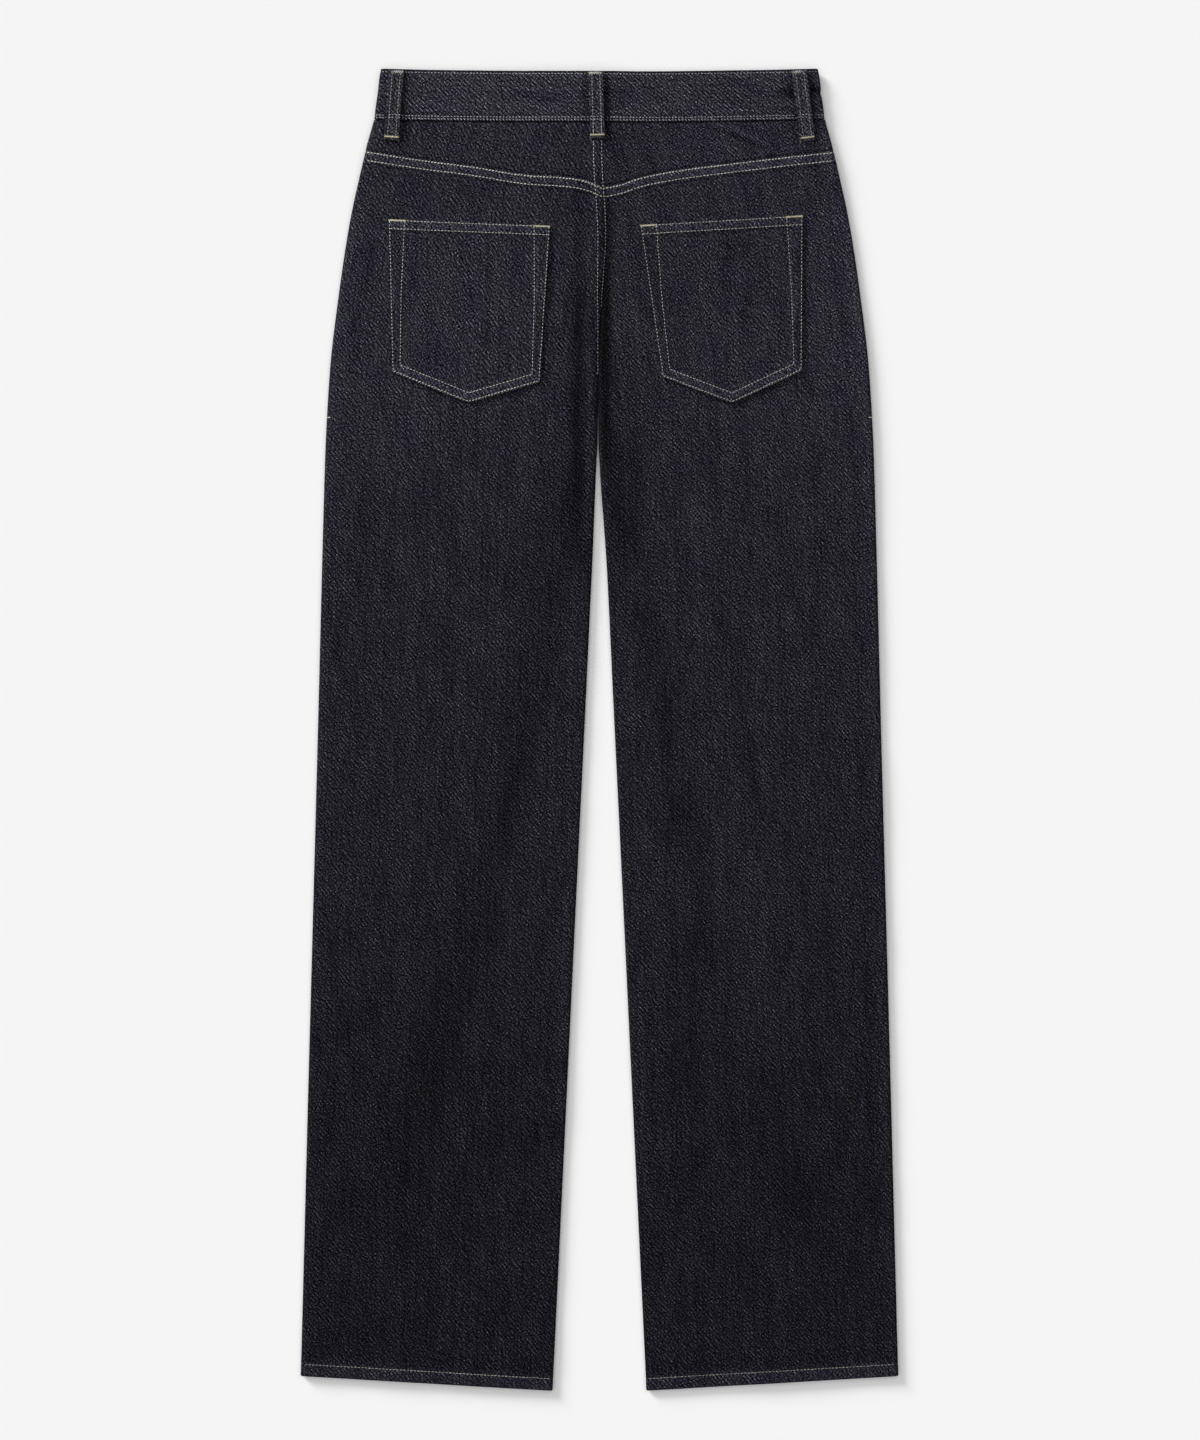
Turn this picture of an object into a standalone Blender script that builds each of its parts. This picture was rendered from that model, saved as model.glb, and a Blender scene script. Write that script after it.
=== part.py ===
"""Straight leg jeans in raw denim, laid out flat with the back up.

Sizes are in millimetres until add_solid turns them into metres.  +X is towards the wearer's
right, +Y up to the waist and +Z up.  The origin is under the middle of the garment, on the
surface that it lies on.  Side is -1 on the wearer's left and +1 on the right; face is +1 on
the back, which is up, and -1 on the front, which is down.
"""
import math
from collections import namedtuple

import bmesh
import bpy

METRES_PER_MM = 0.001

# Cloth, and the room left between pieces
DENIM = 1.2
WAISTBAND_CLOTH = 2.4
HEM_CLOTH = 2.6
FACING_CLOTH = 1.0
SEAM_GAP = 0.3
BENEATH = DENIM + SEAM_GAP

# Heights of the seams where they meet the side seam, up from the garment's middle
TOP = 528.8
WAIST_SEAM = 489.6
YOKE_SEAM = 458.6
CROTCH = 230.0
THIGH = 100.0
HEM = -516.8
HEM_DEPTH = 10.0

# How far the cross lines drop between the side seam and the middle of the garment
HEM_DROP = 12.0
BACK_WAIST_DROP = 2.4
FRONT_WAIST_DROP = 26.0
SHAPING_STARTS = 250.0

# Waistband: its faces lie proud of the legs' cloth
BAND_BOTTOM = 2.2
BAND_TOP = 7.8
BAND_EDGE = 0.8
OVERLAP_END = 1.0
UNDERLAP_END = -38.0
UNDERLAP_START = 14.0
UNDERLAP_RISE = 10.0
UNDERLAP_LIFT = WAISTBAND_CLOTH + SEAM_GAP

# The button and the waistband's overlap push up the back's middle
HUMP_HEIGHT = 2.6
HUMP_MIDDLE = -17.0
HUMP_HALF_WIDTH = 42.0
HUMP_FROM = 405.0
HUMP_FULL = 462.0

# Scoop pockets in the front: a quarter ellipse about the side seam's top
SCOOP_WIDE = 78.0
SCOOP_DEEP = 68.0
SCOOP_ANGLES = (90.0, 88.5, 86.5, 80.0, 70.0, 58.0, 44.0, 28.0, 14.0, 0.0)
FACING_UNDER = 10.0
FACING_RISE = 40.0

LOOP_WIDTH = 12.0
LOOP_CLOTH = 1.7
FRONT_LOOP_CLOTH = 1.9
LOOP_ARCH = 1.6
LOOP_LENGTH = 55.0

BUTTON_RADIUS = 8.5
BUTTON_DEEP = 1.9
BUTTON_PLACE = (-13.0, 484.0)

ZIP_WIDTH = 28.0
ZIP_TOP = 463.0
ZIP_BOTTOM = 335.0
ZIP_TAPE = 0.8
ZIP_CHAIN = 5.0
ZIP_CHAIN_DEEP = 1.5
ZIP_MIDDLE = -6.0


class Table:
    """Rows of sizes under named columns, in order of the first, read smoothly between rows."""

    def __init__(self, columns, *rows):
        self.row_type = namedtuple("Row", columns)
        self.rows = rows

    def slope(self, index, column):
        """Steepness at a row, level where the sizes turn back, so that none overshoots."""
        steps = []
        for low in (index - 1, index):
            if 0 <= low < len(self.rows) - 1:
                below, above = self.rows[low], self.rows[low + 1]
                steps.append((above[column] - below[column]) / (above[0] - below[0]))
        if len(steps) == 1:
            return steps[0]
        if steps[0] * steps[1] <= 0.0:
            return 0.0
        return 2.0 * steps[0] * steps[1] / (steps[0] + steps[1])

    def read(self, place):
        index = 0
        while index < len(self.rows) - 2 and place > self.rows[index + 1][0]:
            index += 1
        below, above = self.rows[index], self.rows[index + 1]
        span = above[0] - below[0]
        t = min(max((place - below[0]) / span, 0.0), 1.0)
        sizes = []
        for column in range(len(below)):
            lift = (3.0 - 2.0 * t) * t * t
            from_below = self.slope(index, column) * span * t * (1.0 - t) ** 2
            from_above = self.slope(index + 1, column) * span * t * t * (t - 1.0)
            size = below[column] + (above[column] - below[column]) * lift
            sizes.append(size + from_below + from_above)
        return self.row_type(*sizes)


# The laid-out garment, cut across at rising heights.  half_width is out to the side seam,
# half_gap from the middle line to the inseam, back_seam and fly_edge are where the middle
# line runs on each face, floor is the front's height, thick the whole height, and the sinks
# say how much of the way to mid height each face drops at the middle line.
SECTIONS = Table(
    "height half_width half_gap back_seam fly_edge floor thick back_sink front_sink",
    (-528.8, 239.10, 38.00, 0.0, 0.0, 0.0, 5.9, 1.00, 1.0),
    (-500.0, 238.30, 36.60, 0.0, 0.0, 0.0, 5.9, 1.00, 1.0),
    (-300.0, 233.10, 27.00, 0.0, 0.0, 0.0, 5.7, 1.00, 1.0),
    (-100.0, 227.80, 18.00, 0.0, 0.0, 0.0, 5.8, 1.00, 1.0),
    (24.00, 224.50, 11.20, 0.0, 0.0, 0.0, 6.0, 1.00, 1.0),
    (120.0, 222.00, 6.80, 0.0, 0.0, 0.0, 6.2, 1.00, 1.0),
    (216.0, 219.60, 0.80, -1.2, -1.2, 0.0, 6.3, 1.00, 1.0),
    (232.0, 219.00, 0.15, -1.2, -1.2, 0.0, 6.3, 0.95, 0.9),
    (290.0, 215.20, 0.15, -0.8, 0.0, 0.0, 6.2, 0.60, 0.0),
    (347.0, 208.00, 0.15, 1.5, 1.0, 0.0, 6.2, 0.35, 0.0),
    (405.0, 199.50, 0.15, 5.0, 1.0, 0.7, 5.4, 0.20, 0.0),
    (450.0, 190.00, 0.15, 2.6, 1.0, 2.6, 4.7, 0.05, 0.0),
    (489.6, 180.20, 0.15, 2.0, 1.0, 2.7, 4.6, 0.00, 0.0),
    (528.8, 175.00, 0.15, 2.0, 1.0, 2.7, 4.6, 0.00, 0.0),
)

# Height of the yoke seam on each side, by distance from the centre back seam.
YOKE_LINE = Table(
    "from_seam left right",
    (0.0, 429.0, 429.0),
    (15.0, 435.0, 432.6),
    (30.0, 437.4, 438.0),
    (60.0, 439.4, 444.2),
    (100.0, 445.8, 449.4),
    (150.0, 452.4, 455.1),
    (190.0, 458.6, 458.6),
)

# The largest folds of the back: ridges up, troughs down.  Each runs down through three
# places, and fades out towards both ends.
Fold = namedtuple("Fold", "top top_x middle_x bottom_x bottom half_width lift")
FOLDS = (
    Fold(425.0, -17.0, -18.5, -16.0, 215.0, 7.0, -1.5),
    Fold(425.0, -6.5, -9.0, -8.0, 225.0, 5.5, 1.6),
    Fold(430.0, 11.0, 8.5, 6.0, 215.0, 6.5, -1.6),
    Fold(260.0, 22.0, 26.0, 30.0, 160.0, 9.0, 1.0),
    Fold(250.0, -18.0, -66.0, -160.0, -370.0, 19.0, -1.4),
    Fold(250.0, 15.0, 64.0, 122.0, -200.0, 18.0, -1.4),
    Fold(150.0, 95.0, 112.0, 138.0, -110.0, 12.0, -0.8),
)

# Back patch pockets: x and height of each corner.
Pocket = namedtuple("Pocket", "outer_top inner_top inner_bottom tip outer_bottom")
POCKETS = {
    -1: Pocket((-169.2, 408.0), (-38.5, 402.8), (-46.8, 278.1), (-104.8, 261.6), (-166.2, 286.7)),
    1: Pocket((163.3, 411.2), (32.4, 403.4), (50.4, 282.7), (106.0, 261.0), (162.6, 287.0)),
}
POCKET_HEM = 7.0
POCKET_HEM_CLOTH = 2.0

# Belt loops on the back: x and height of the middle of each end.
BackLoop = namedtuple("BackLoop", "name top bottom")
BACK_LOOPS = (
    BackLoop("belt_loop_left", (-161.6, 527.6), (-165.6, 473.0)),
    BackLoop("belt_loop_back", (-2.2, 525.8), (-0.6, 474.4)),
    BackLoop("belt_loop_right", (160.4, 527.6), (167.4, 473.2)),
)
FRONT_LOOP_X = 108.0
FRONT_LOOPS = (("belt_loop_front_left", -1), ("belt_loop_front_right", 1))

SIDE_NAMES = ((-1, "left"), (1, "right"))

# How finely the cloth is cut into rows and places.  The places at the middle line are
# distances from the seam there, close together where the folds run beside it.
EDGE_STEPS = 3
BACK_MIDDLE_STEPS = 8
FRONT_MIDDLE_STEPS = 5
LEG_ROWS = 13
SEAT_ROWS = 9
FRONT_SEAT_ROWS = 6
YOKE_ROWS = 4
CENTRE_PLACES = (SEAM_GAP / 2.0, 2.5, 5.0, 8.5, 12.5, 17.0, 22.0, 30.0, 42.0)
INSEAM_PLACES = (SEAM_GAP / 2.0, 1.6, 3.3, 4.9)

# Colours, as sRGB
INDIGO = "#27272F"
BAND_INDIGO = "#313139"
POCKET_INDIGO = "#2A2A32"
LEG_INDIGO = "#242429"
BRASS = "#8C7443"
ZIP_BRASS = "#7A6A48"


def blend(low, high, share):
    return low + (high - low) * share


def ramp(value, start, end):
    """0 at start, 1 at end, straight between."""
    return min(max((value - start) / (end - start), 0.0), 1.0)


def smooth(value, start, end):
    """0 at start, 1 at end, eased at both."""
    t = ramp(value, start, end)
    return t * t * (3.0 - 2.0 * t)


def round_edge(cloth, radius):
    """How far in, and what share of the way up, cloth has come round a folded edge."""
    angle = min(cloth / radius, math.pi / 2.0)
    flat = max(cloth - radius * math.pi / 2.0, 0.0)
    return radius * (1.0 - math.cos(angle)) + flat, math.sin(angle)


def fold_lift(x, y):
    """Lift of the back's cloth where its large folds run."""
    lift = 0.0
    for fold in FOLDS:
        t = (fold.top - y) / (fold.top - fold.bottom)
        if 0.0 < t < 1.0:
            bend = 4.0 * (fold.middle_x - (fold.top_x + fold.bottom_x) / 2.0)
            middle = blend(fold.top_x, fold.bottom_x, t) + bend * t * (1.0 - t)
            across = (x - middle) / fold.half_width
            along = math.sin(math.pi * t) ** 0.6
            lift += fold.lift * along * math.exp(-across * across)
    return lift


def hump_lift(x, y):
    """Lift of the back's middle over the button and the waistband's overlap."""
    across = (x - HUMP_MIDDLE) / HUMP_HALF_WIDTH
    return HUMP_HEIGHT * math.exp(-across ** 4) * smooth(y, HUMP_FROM, HUMP_FULL)


class Cut:
    """One face of one half of the garment, cut across at one height."""

    def __init__(self, side, face, height):
        shape = SECTIONS.read(height)
        seam = shape.back_seam if face > 0 else shape.fly_edge
        self.side = side
        self.face = face
        self.height = height
        self.outer = shape.half_width
        self.inner = side * seam + shape.half_gap
        self.radius = shape.thick / 2.0
        self.middle = shape.floor + self.radius
        self.sink = shape.back_sink if face > 0 else shape.front_sink
        self.cloth = self.outer - self.inner + (math.pi - 2.0) * self.radius

    def place(self, from_side):
        """Distance out from the garment's middle, and height, along the outer face."""
        inset, rise = round_edge(from_side, self.radius)
        inner_inset, inner_rise = round_edge(self.cloth - from_side, self.radius)
        if from_side < self.cloth / 2.0:
            out = self.outer - inset
        else:
            out = self.inner + inner_inset
        sunk = self.sink * (1.0 - inner_rise)
        up = self.middle + self.face * self.radius * (rise - sunk)
        if self.face > 0:
            x = self.side * out
            lift = fold_lift(x, self.height) + hump_lift(x, self.height)
            up += lift * rise * (1.0 - sunk)
        return out, up

    def point(self, from_side, depth=0.0):
        """A point of the cloth, this far in from its outer face."""
        step = 0.05
        out_before, up_before = self.place(from_side - step)
        out_after, up_after = self.place(from_side + step)
        run, climb = out_after - out_before, up_after - up_before
        length = math.hypot(run, climb)
        out, up = self.place(from_side)
        out -= self.face * climb / length * depth
        up += self.face * run / length * depth
        return (self.side * out, self.height, up)


def back_height(side, level, share):
    """Height on a back line that leaves the side seam at level, share of the way in."""
    cut = Cut(side, 1, level)
    line = YOKE_LINE.read((1.0 - share) * (cut.outer - cut.inner))
    yoke_drop = YOKE_SEAM - (line.left if side < 0 else line.right)
    height = level - HEM_DROP * share * (1.0 - ramp(level, HEM, THIGH))
    if level <= YOKE_SEAM:
        return height - yoke_drop * ramp(level, SHAPING_STARTS, YOKE_SEAM)
    above = ramp(level, YOKE_SEAM, WAIST_SEAM)
    waist_drop = BACK_WAIST_DROP * (1.0 - (1.0 - share) ** 2)
    return height - blend(yoke_drop, waist_drop, above)


def front_height(level, share):
    """Height on a front line that leaves the side seam at level, share of the way in."""
    height = level - HEM_DROP * share * (1.0 - ramp(level, HEM, THIGH))
    waist_drop = FRONT_WAIST_DROP * (1.0 - (1.0 - share) ** 2)
    return height - waist_drop * ramp(level, SHAPING_STARTS, WAIST_SEAM)


def spread(start, end, radius, middle_steps, inner_places):
    """Cloth distances from start to end: close round both edges, even between them."""
    edge = radius * math.pi / 2.0
    places = [start + edge * step / EDGE_STEPS for step in range(EDGE_STEPS)]
    first = start + edge
    last = end - inner_places[-1]
    places += [blend(first, last, step / middle_steps) for step in range(middle_steps)]
    places += [end - place for place in reversed(inner_places)]
    return places


def add_solid(name, points, faces, colour, roughness=0.9, metallic=0.0):
    """One named closed solid with its own material; points are in millimetres."""
    mesh = bpy.data.meshes.new(name)
    mesh.from_pydata([[size * METRES_PER_MM for size in point] for point in points], [], faces)
    work = bmesh.new()
    work.from_mesh(mesh)
    bmesh.ops.recalc_face_normals(work, faces=work.faces)
    work.to_mesh(mesh)
    work.free()
    mesh.shade_smooth()
    mesh.set_sharp_from_angle(angle=math.radians(40.0))
    mesh.materials.append(make_material(name, colour, roughness, metallic))
    solid = bpy.data.objects.new(name, mesh)
    bpy.context.scene.collection.objects.link(solid)


def make_material(name, colour, roughness, metallic):
    """A plain finish; colour is sRGB."""
    channels = []
    for start in (1, 3, 5):
        value = int(colour[start:start + 2], 16) / 255.0
        channels.append(value / 12.92 if value <= 0.04045 else ((value + 0.055) / 1.055) ** 2.4)
    material = bpy.data.materials.new(name)
    material.use_nodes = True
    shader = material.node_tree.nodes["Principled BSDF"]
    shader.inputs["Base Color"].default_value = (*channels, 1.0)
    shader.inputs["Roughness"].default_value = roughness
    shader.inputs["Metallic"].default_value = metallic
    return material


def add_shell(name, rows, colour):
    """A wall of cloth; each row holds (outer point, inner point) pairs across the piece."""
    count, width = len(rows), len(rows[0])
    points = [pair[0] for row in rows for pair in row]
    points += [pair[1] for row in rows for pair in row]

    def outer(row, place):
        return row * width + place

    def inner(row, place):
        return (count + row) * width + place

    faces = []
    for row in range(count - 1):
        for place in range(width - 1):
            corners = ((row, place), (row, place + 1), (row + 1, place + 1), (row + 1, place))
            faces.append([outer(*corner) for corner in corners])
            faces.append([inner(*corner) for corner in reversed(corners)])
        for place in (0, width - 1):
            faces.append([outer(row, place), outer(row + 1, place),
                          inner(row + 1, place), inner(row, place)])
    for place in range(width - 1):
        for row in (0, count - 1):
            faces.append([outer(row, place), outer(row, place + 1),
                          inner(row, place + 1), inner(row, place)])
    add_solid(name, points, faces, colour)


def leg_levels():
    """Levels from the hem up to where the seat's shaping starts, the hem's fold among them."""
    fold = HEM + HEM_DEPTH
    above_hem = [blend(fold + 50.0, CROTCH - 40.0, step / LEG_ROWS) for step in range(LEG_ROWS + 1)]
    return [HEM, fold, fold + 0.8] + above_hem + [CROTCH - 18.0, CROTCH, SHAPING_STARTS]


def wall(level):
    """The cloth is turned up twice inside the hem."""
    return HEM_CLOTH if level <= HEM + HEM_DEPTH else DENIM


def back_row(side, level, height_shift, cloth):
    """One row of a back piece, from the side seam in to the inseam or centre back."""
    cut = Cut(side, 1, level)
    start, end = SEAM_GAP / 2.0, cut.cloth
    row = []
    for from_side in spread(start, end, cut.radius, BACK_MIDDLE_STEPS, CENTRE_PLACES):
        share = from_side / cut.cloth
        height = back_height(side, level, share) + height_shift
        local = Cut(side, 1, height)
        place = share * local.cloth
        if from_side > cut.cloth / 2.0:
            place = local.cloth - (cut.cloth - from_side)
        elif from_side < cut.radius * 2.0:
            place = from_side
        row.append((local.point(place), local.point(place, cloth)))
    return row


def add_back(side, name):
    levels = leg_levels()
    levels += [blend(SHAPING_STARTS, YOKE_SEAM, step / SEAT_ROWS) for step in range(1, SEAT_ROWS + 1)]
    rows = []
    for level in levels:
        shift = -SEAM_GAP / 2.0 if level == levels[-1] else 0.0
        rows.append(back_row(side, level, shift, wall(level)))
    add_shell("back_" + name, rows, LEG_INDIGO)


def add_yoke(side, name):
    rows = []
    for step in range(YOKE_ROWS + 1):
        level = blend(YOKE_SEAM + 0.001, WAIST_SEAM, step / YOKE_ROWS)
        shift = SEAM_GAP / 2.0 * (1.0 - 2.0 * step / YOKE_ROWS)
        rows.append(back_row(side, level, shift, DENIM))
    add_shell("yoke_" + name, rows, INDIGO)


def scoop_rows():
    """Level, and cloth cut away from the side seam, up a scoop pocket's mouth."""
    angles = [math.radians(angle) for angle in SCOOP_ANGLES]
    return [(WAIST_SEAM - SCOOP_DEEP * math.sin(angle), SCOOP_WIDE * math.cos(angle))
            for angle in angles]


def front_point(side, level, from_side, depth, shift=0.0):
    cut = Cut(side, -1, level)
    share = from_side / cut.cloth
    local = Cut(side, -1, front_height(level, share) + shift)
    place = from_side
    if from_side > cut.cloth / 2.0:
        place = local.cloth - (cut.cloth - from_side)
    return local.point(place, depth)


def add_front(side, name):
    top_shift = -SEAM_GAP / 2.0
    plan = [(level, 0.0, 0.0) for level in leg_levels()]
    plan += [(blend(SHAPING_STARTS, WAIST_SEAM - SCOOP_DEEP, step / FRONT_SEAT_ROWS), 0.0, 0.0)
             for step in range(1, FRONT_SEAT_ROWS)]
    plan += [(level, mouth, 0.0) for level, mouth in scoop_rows()[:-1]]
    plan.append((WAIST_SEAM, SCOOP_WIDE, top_shift))
    rows = []
    for level, mouth, shift in plan:
        cut = Cut(side, -1, level)
        start = max(mouth, SEAM_GAP / 2.0)
        places = spread(start, cut.cloth, cut.radius, FRONT_MIDDLE_STEPS, INSEAM_PLACES)
        rows.append([(front_point(side, level, place, 0.0, shift),
                      front_point(side, level, place, wall(level), shift)) for place in places])
    add_shell("front_" + name, rows, LEG_INDIGO)


def add_facing(side, name):
    """The cloth that shows in the scoop pocket's mouth, and runs on under its edge."""
    rows = []
    for level, mouth in scoop_rows():
        shift = -SEAM_GAP / 2.0 if level == WAIST_SEAM else 0.0
        cut = Cut(side, -1, level)
        start = SEAM_GAP / 2.0
        edge = start + cut.radius * math.pi / 2.0
        lip = max(mouth, edge + 1.0)
        places = [blend(start, edge, step / 4.0) for step in range(4)]
        places += [blend(edge, lip, step / 6.0) for step in range(7)]
        places += [lip + FACING_UNDER * step / 2.0 for step in (1, 2)]
        row = []
        for place in places:
            depth = BENEATH * smooth(place, mouth - FACING_RISE, mouth)
            row.append((front_point(side, level, place, depth, shift),
                        front_point(side, level, place, depth + FACING_CLOTH, shift)))
        rows.append(row)
    add_shell("facing_" + name, rows, INDIGO)


def back_top(x, y):
    """Height of the back's outer face, away from its edges."""
    shape = SECTIONS.read(y)
    if y > WAIST_SEAM:
        return BAND_TOP + hump_lift(x, y)
    return shape.floor + shape.thick + fold_lift(x, y) + hump_lift(x, y)


def add_back_pocket(side, name):
    pocket = POCKETS[side]
    tip_share = ((pocket.tip[0] - pocket.outer_bottom[0])
                 / (pocket.inner_bottom[0] - pocket.outer_bottom[0]))
    across = [tip_share * step / 5.0 for step in range(5)]
    across += [blend(tip_share, 1.0, step / 5.0) for step in range(6)]
    deep = pocket.outer_top[1] - pocket.outer_bottom[1]
    hem_share = 1.0 - POCKET_HEM / deep
    up = [hem_share * step / 7.0 for step in range(8)] + [hem_share + 0.004, 1.0]
    rows = []
    for rise in up:
        cloth = POCKET_HEM_CLOTH if rise > hem_share else DENIM
        row = []
        for share in across:
            if share < tip_share:
                start, end, part = pocket.outer_bottom, pocket.tip, share / tip_share
            else:
                start, end = pocket.tip, pocket.inner_bottom
                part = (share - tip_share) / (1.0 - tip_share)
            low = [blend(start[axis], end[axis], part) for axis in (0, 1)]
            high = [blend(pocket.outer_top[axis], pocket.inner_top[axis], share) for axis in (0, 1)]
            x, y = (blend(low[axis], high[axis], rise) for axis in (0, 1))
            under = back_top(x, y) + SEAM_GAP
            row.append(((x, y, under + cloth), (x, y, under)))
        rows.append(row)
    add_shell("back_pocket_" + name, rows, POCKET_INDIGO)


def band_path():
    """The waistband's outer face seen from its end: x, height, and which face it is on.

    It starts at the overlap's end at centre front, runs round the left side, the back and
    the right side, and ends as the underlap inside the overlap.
    """
    radius = (BAND_TOP - BAND_BOTTOM) / 2.0
    middle = (BAND_TOP + BAND_BOTTOM) / 2.0
    turn = SECTIONS.read(WAIST_SEAM).half_width - radius
    path = [(blend(OVERLAP_END, -turn, step / 9.0), BAND_BOTTOM, -1) for step in range(9)]
    for step in range(9):
        angle = math.radians(270.0 - 22.5 * step)
        face = 1 if step > 4 else -1
        path.append((-turn + radius * math.cos(angle), middle + radius * math.sin(angle), face))
    path += [(blend(-turn, turn, step / 26.0), BAND_TOP, 1) for step in range(1, 26)]
    for step in range(9):
        angle = math.radians(90.0 - 22.5 * step)
        face = 1 if step < 4 else -1
        path.append((turn + radius * math.cos(angle), middle + radius * math.sin(angle), face))
    path += [(blend(turn, UNDERLAP_START, step / 8.0), BAND_BOTTOM, -1) for step in range(1, 9)]
    for step in range(1, 7):
        x = UNDERLAP_START - UNDERLAP_RISE * step / 6.0
        rise = smooth(step, 0.0, 6.0)
        path.append((x, BAND_BOTTOM + UNDERLAP_LIFT * rise, -1))
    path += [(blend(UNDERLAP_START - UNDERLAP_RISE, UNDERLAP_END, step / 4.0),
              BAND_BOTTOM + UNDERLAP_LIFT, -1) for step in range(1, 5)]
    return path


def add_waistband():
    path = band_path()
    half = SECTIONS.read(WAIST_SEAM).half_width
    rows = []
    for index, (x, z, face) in enumerate(path):
        before = path[max(index - 1, 0)]
        after = path[min(index + 1, len(path) - 1)]
        run, climb = after[0] - before[0], after[1] - before[1]
        length = math.hypot(run, climb)
        inward = (climb / length, -run / length)
        share = min(abs(x) / half, 1.0)
        waist_drop = BACK_WAIST_DROP if face > 0 else FRONT_WAIST_DROP
        drop = waist_drop * (1.0 - share ** 2)
        low = WAIST_SEAM + SEAM_GAP / 2.0 - drop
        high = TOP - drop
        row = []
        for y, out_depth, in_depth in ((low, 0.0, WAISTBAND_CLOTH),
                                       (blend(low, high, 0.5), 0.0, WAISTBAND_CLOTH),
                                       (high - BAND_EDGE, 0.0, WAISTBAND_CLOTH),
                                       (high, BAND_EDGE, WAISTBAND_CLOTH - BAND_EDGE)):
            taper = SECTIONS.read(y + drop).half_width / half
            lift = hump_lift(x, y) if face > 0 else 0.0
            pair = []
            for depth in (out_depth, in_depth):
                pair.append(((x + inward[0] * depth) * taper, y, z + inward[1] * depth + lift))
            row.append(tuple(pair))
        rows.append(row)
    add_shell("waistband", rows, BAND_INDIGO)


def add_back_loop(loop):
    """A strip sewn down at both ends, standing proud between them."""
    rows = []
    steps = 14
    for step in range(steps + 1):
        share = step / steps
        x, y = (blend(loop.top[axis], loop.bottom[axis], share) for axis in (0, 1))
        arch = LOOP_ARCH * abs(math.sin(math.pi * share)) ** 0.7
        row = []
        for across in (-0.5, -0.44, 0.44, 0.5):
            place = x + across * LOOP_WIDTH
            shift = place - x
            under = blend(back_top(loop.top[0] + shift, loop.top[1]),
                          back_top(loop.bottom[0] + shift, loop.bottom[1]), share)
            under += SEAM_GAP + arch
            edge = 0.5 if abs(across) == 0.5 else 0.0
            row.append(((place, y, under + LOOP_CLOTH - edge), (place, y, under)))
        rows.append(row)
    add_shell(loop.name, rows, BAND_INDIGO)


def add_front_loop(name, side):
    share = FRONT_LOOP_X / SECTIONS.read(WAIST_SEAM).half_width
    high = TOP - FRONT_WAIST_DROP * (1.0 - share ** 2) - 1.0
    rows = []
    for y in (high, high - LOOP_LENGTH):
        row = []
        for across, edge in ((-0.5, 0.4), (-0.46, 0.0), (0.46, 0.0), (0.5, 0.4)):
            x = side * FRONT_LOOP_X + across * LOOP_WIDTH
            row.append(((x, y, edge), (x, y, FRONT_LOOP_CLOTH - edge)))
        rows.append(row)
    add_shell(name, rows, BAND_INDIGO)


def add_zip():
    """Closed tape and chain behind the fly's edge, between the front and the back."""
    rows = []
    steps = 8
    for step in range(steps + 1):
        y = blend(ZIP_BOTTOM, ZIP_TOP, step / steps)
        under = SECTIONS.read(y).floor + BENEATH
        row = []
        for across, deep in ((-0.5 * ZIP_WIDTH, ZIP_TAPE), (-0.5 * ZIP_CHAIN - 0.3, ZIP_TAPE),
                             (-0.5 * ZIP_CHAIN, ZIP_CHAIN_DEEP), (0.5 * ZIP_CHAIN, ZIP_CHAIN_DEEP),
                             (0.5 * ZIP_CHAIN + 0.3, ZIP_TAPE), (0.5 * ZIP_WIDTH, ZIP_TAPE)):
            x = ZIP_MIDDLE + across
            row.append(((x, y, under + deep), (x, y, under)))
        rows.append(row)
    add_shell("zip", rows, ZIP_BRASS)


def add_button():
    """A low round head, lying on its face."""
    profile = ((BUTTON_RADIUS - 1.0, 0.0), (BUTTON_RADIUS, 0.5), (BUTTON_RADIUS, 1.2),
               (BUTTON_RADIUS - 1.0, BUTTON_DEEP))
    around = 32
    points = []
    for radius, z in profile:
        for step in range(around):
            angle = 2.0 * math.pi * step / around
            points.append((BUTTON_PLACE[0] + radius * math.cos(angle),
                           BUTTON_PLACE[1] + radius * math.sin(angle), z))
    faces = []
    for ring in range(len(profile) - 1):
        for step in range(around):
            after = (step + 1) % around
            faces.append([ring * around + step, ring * around + after,
                          (ring + 1) * around + after, (ring + 1) * around + step])
    faces.append(list(range(around)))
    faces.append(list(range((len(profile) - 1) * around, len(profile) * around)))
    add_solid("button", points, faces, BRASS, roughness=0.4, metallic=1.0)


def main():
    for old in list(bpy.data.objects):
        bpy.data.objects.remove(old)
    for side, name in SIDE_NAMES:
        add_back(side, name)
        add_yoke(side, name)
        add_front(side, name)
        add_facing(side, name)
        add_back_pocket(side, name)
    add_waistband()
    for loop in BACK_LOOPS:
        add_back_loop(loop)
    for name, side in FRONT_LOOPS:
        add_front_loop(name, side)
    add_button()
    add_zip()


main()
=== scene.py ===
"""Straight leg jeans in raw denim, laid out with the back up: cloth, sewing and metal trims.

Sizes are in millimetres until add_mesh turns them into metres.  +X is towards the wearer's
right, +Y up to the waist and +Z up out of the back.  Side is -1 on the wearer's left and +1
on the right; face is +1 on the back, which is up, and -1 on the front, which is down.
"""
import math
from collections import namedtuple

import bpy
import numpy as np
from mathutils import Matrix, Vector
from mathutils.bvhtree import BVHTree


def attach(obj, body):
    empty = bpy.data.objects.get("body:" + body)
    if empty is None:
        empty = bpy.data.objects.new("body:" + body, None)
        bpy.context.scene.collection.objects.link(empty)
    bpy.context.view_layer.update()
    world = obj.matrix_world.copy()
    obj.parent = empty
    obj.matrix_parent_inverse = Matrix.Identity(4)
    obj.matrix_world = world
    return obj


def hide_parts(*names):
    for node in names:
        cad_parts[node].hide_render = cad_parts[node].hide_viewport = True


METRES_PER_MM = 0.001

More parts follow.
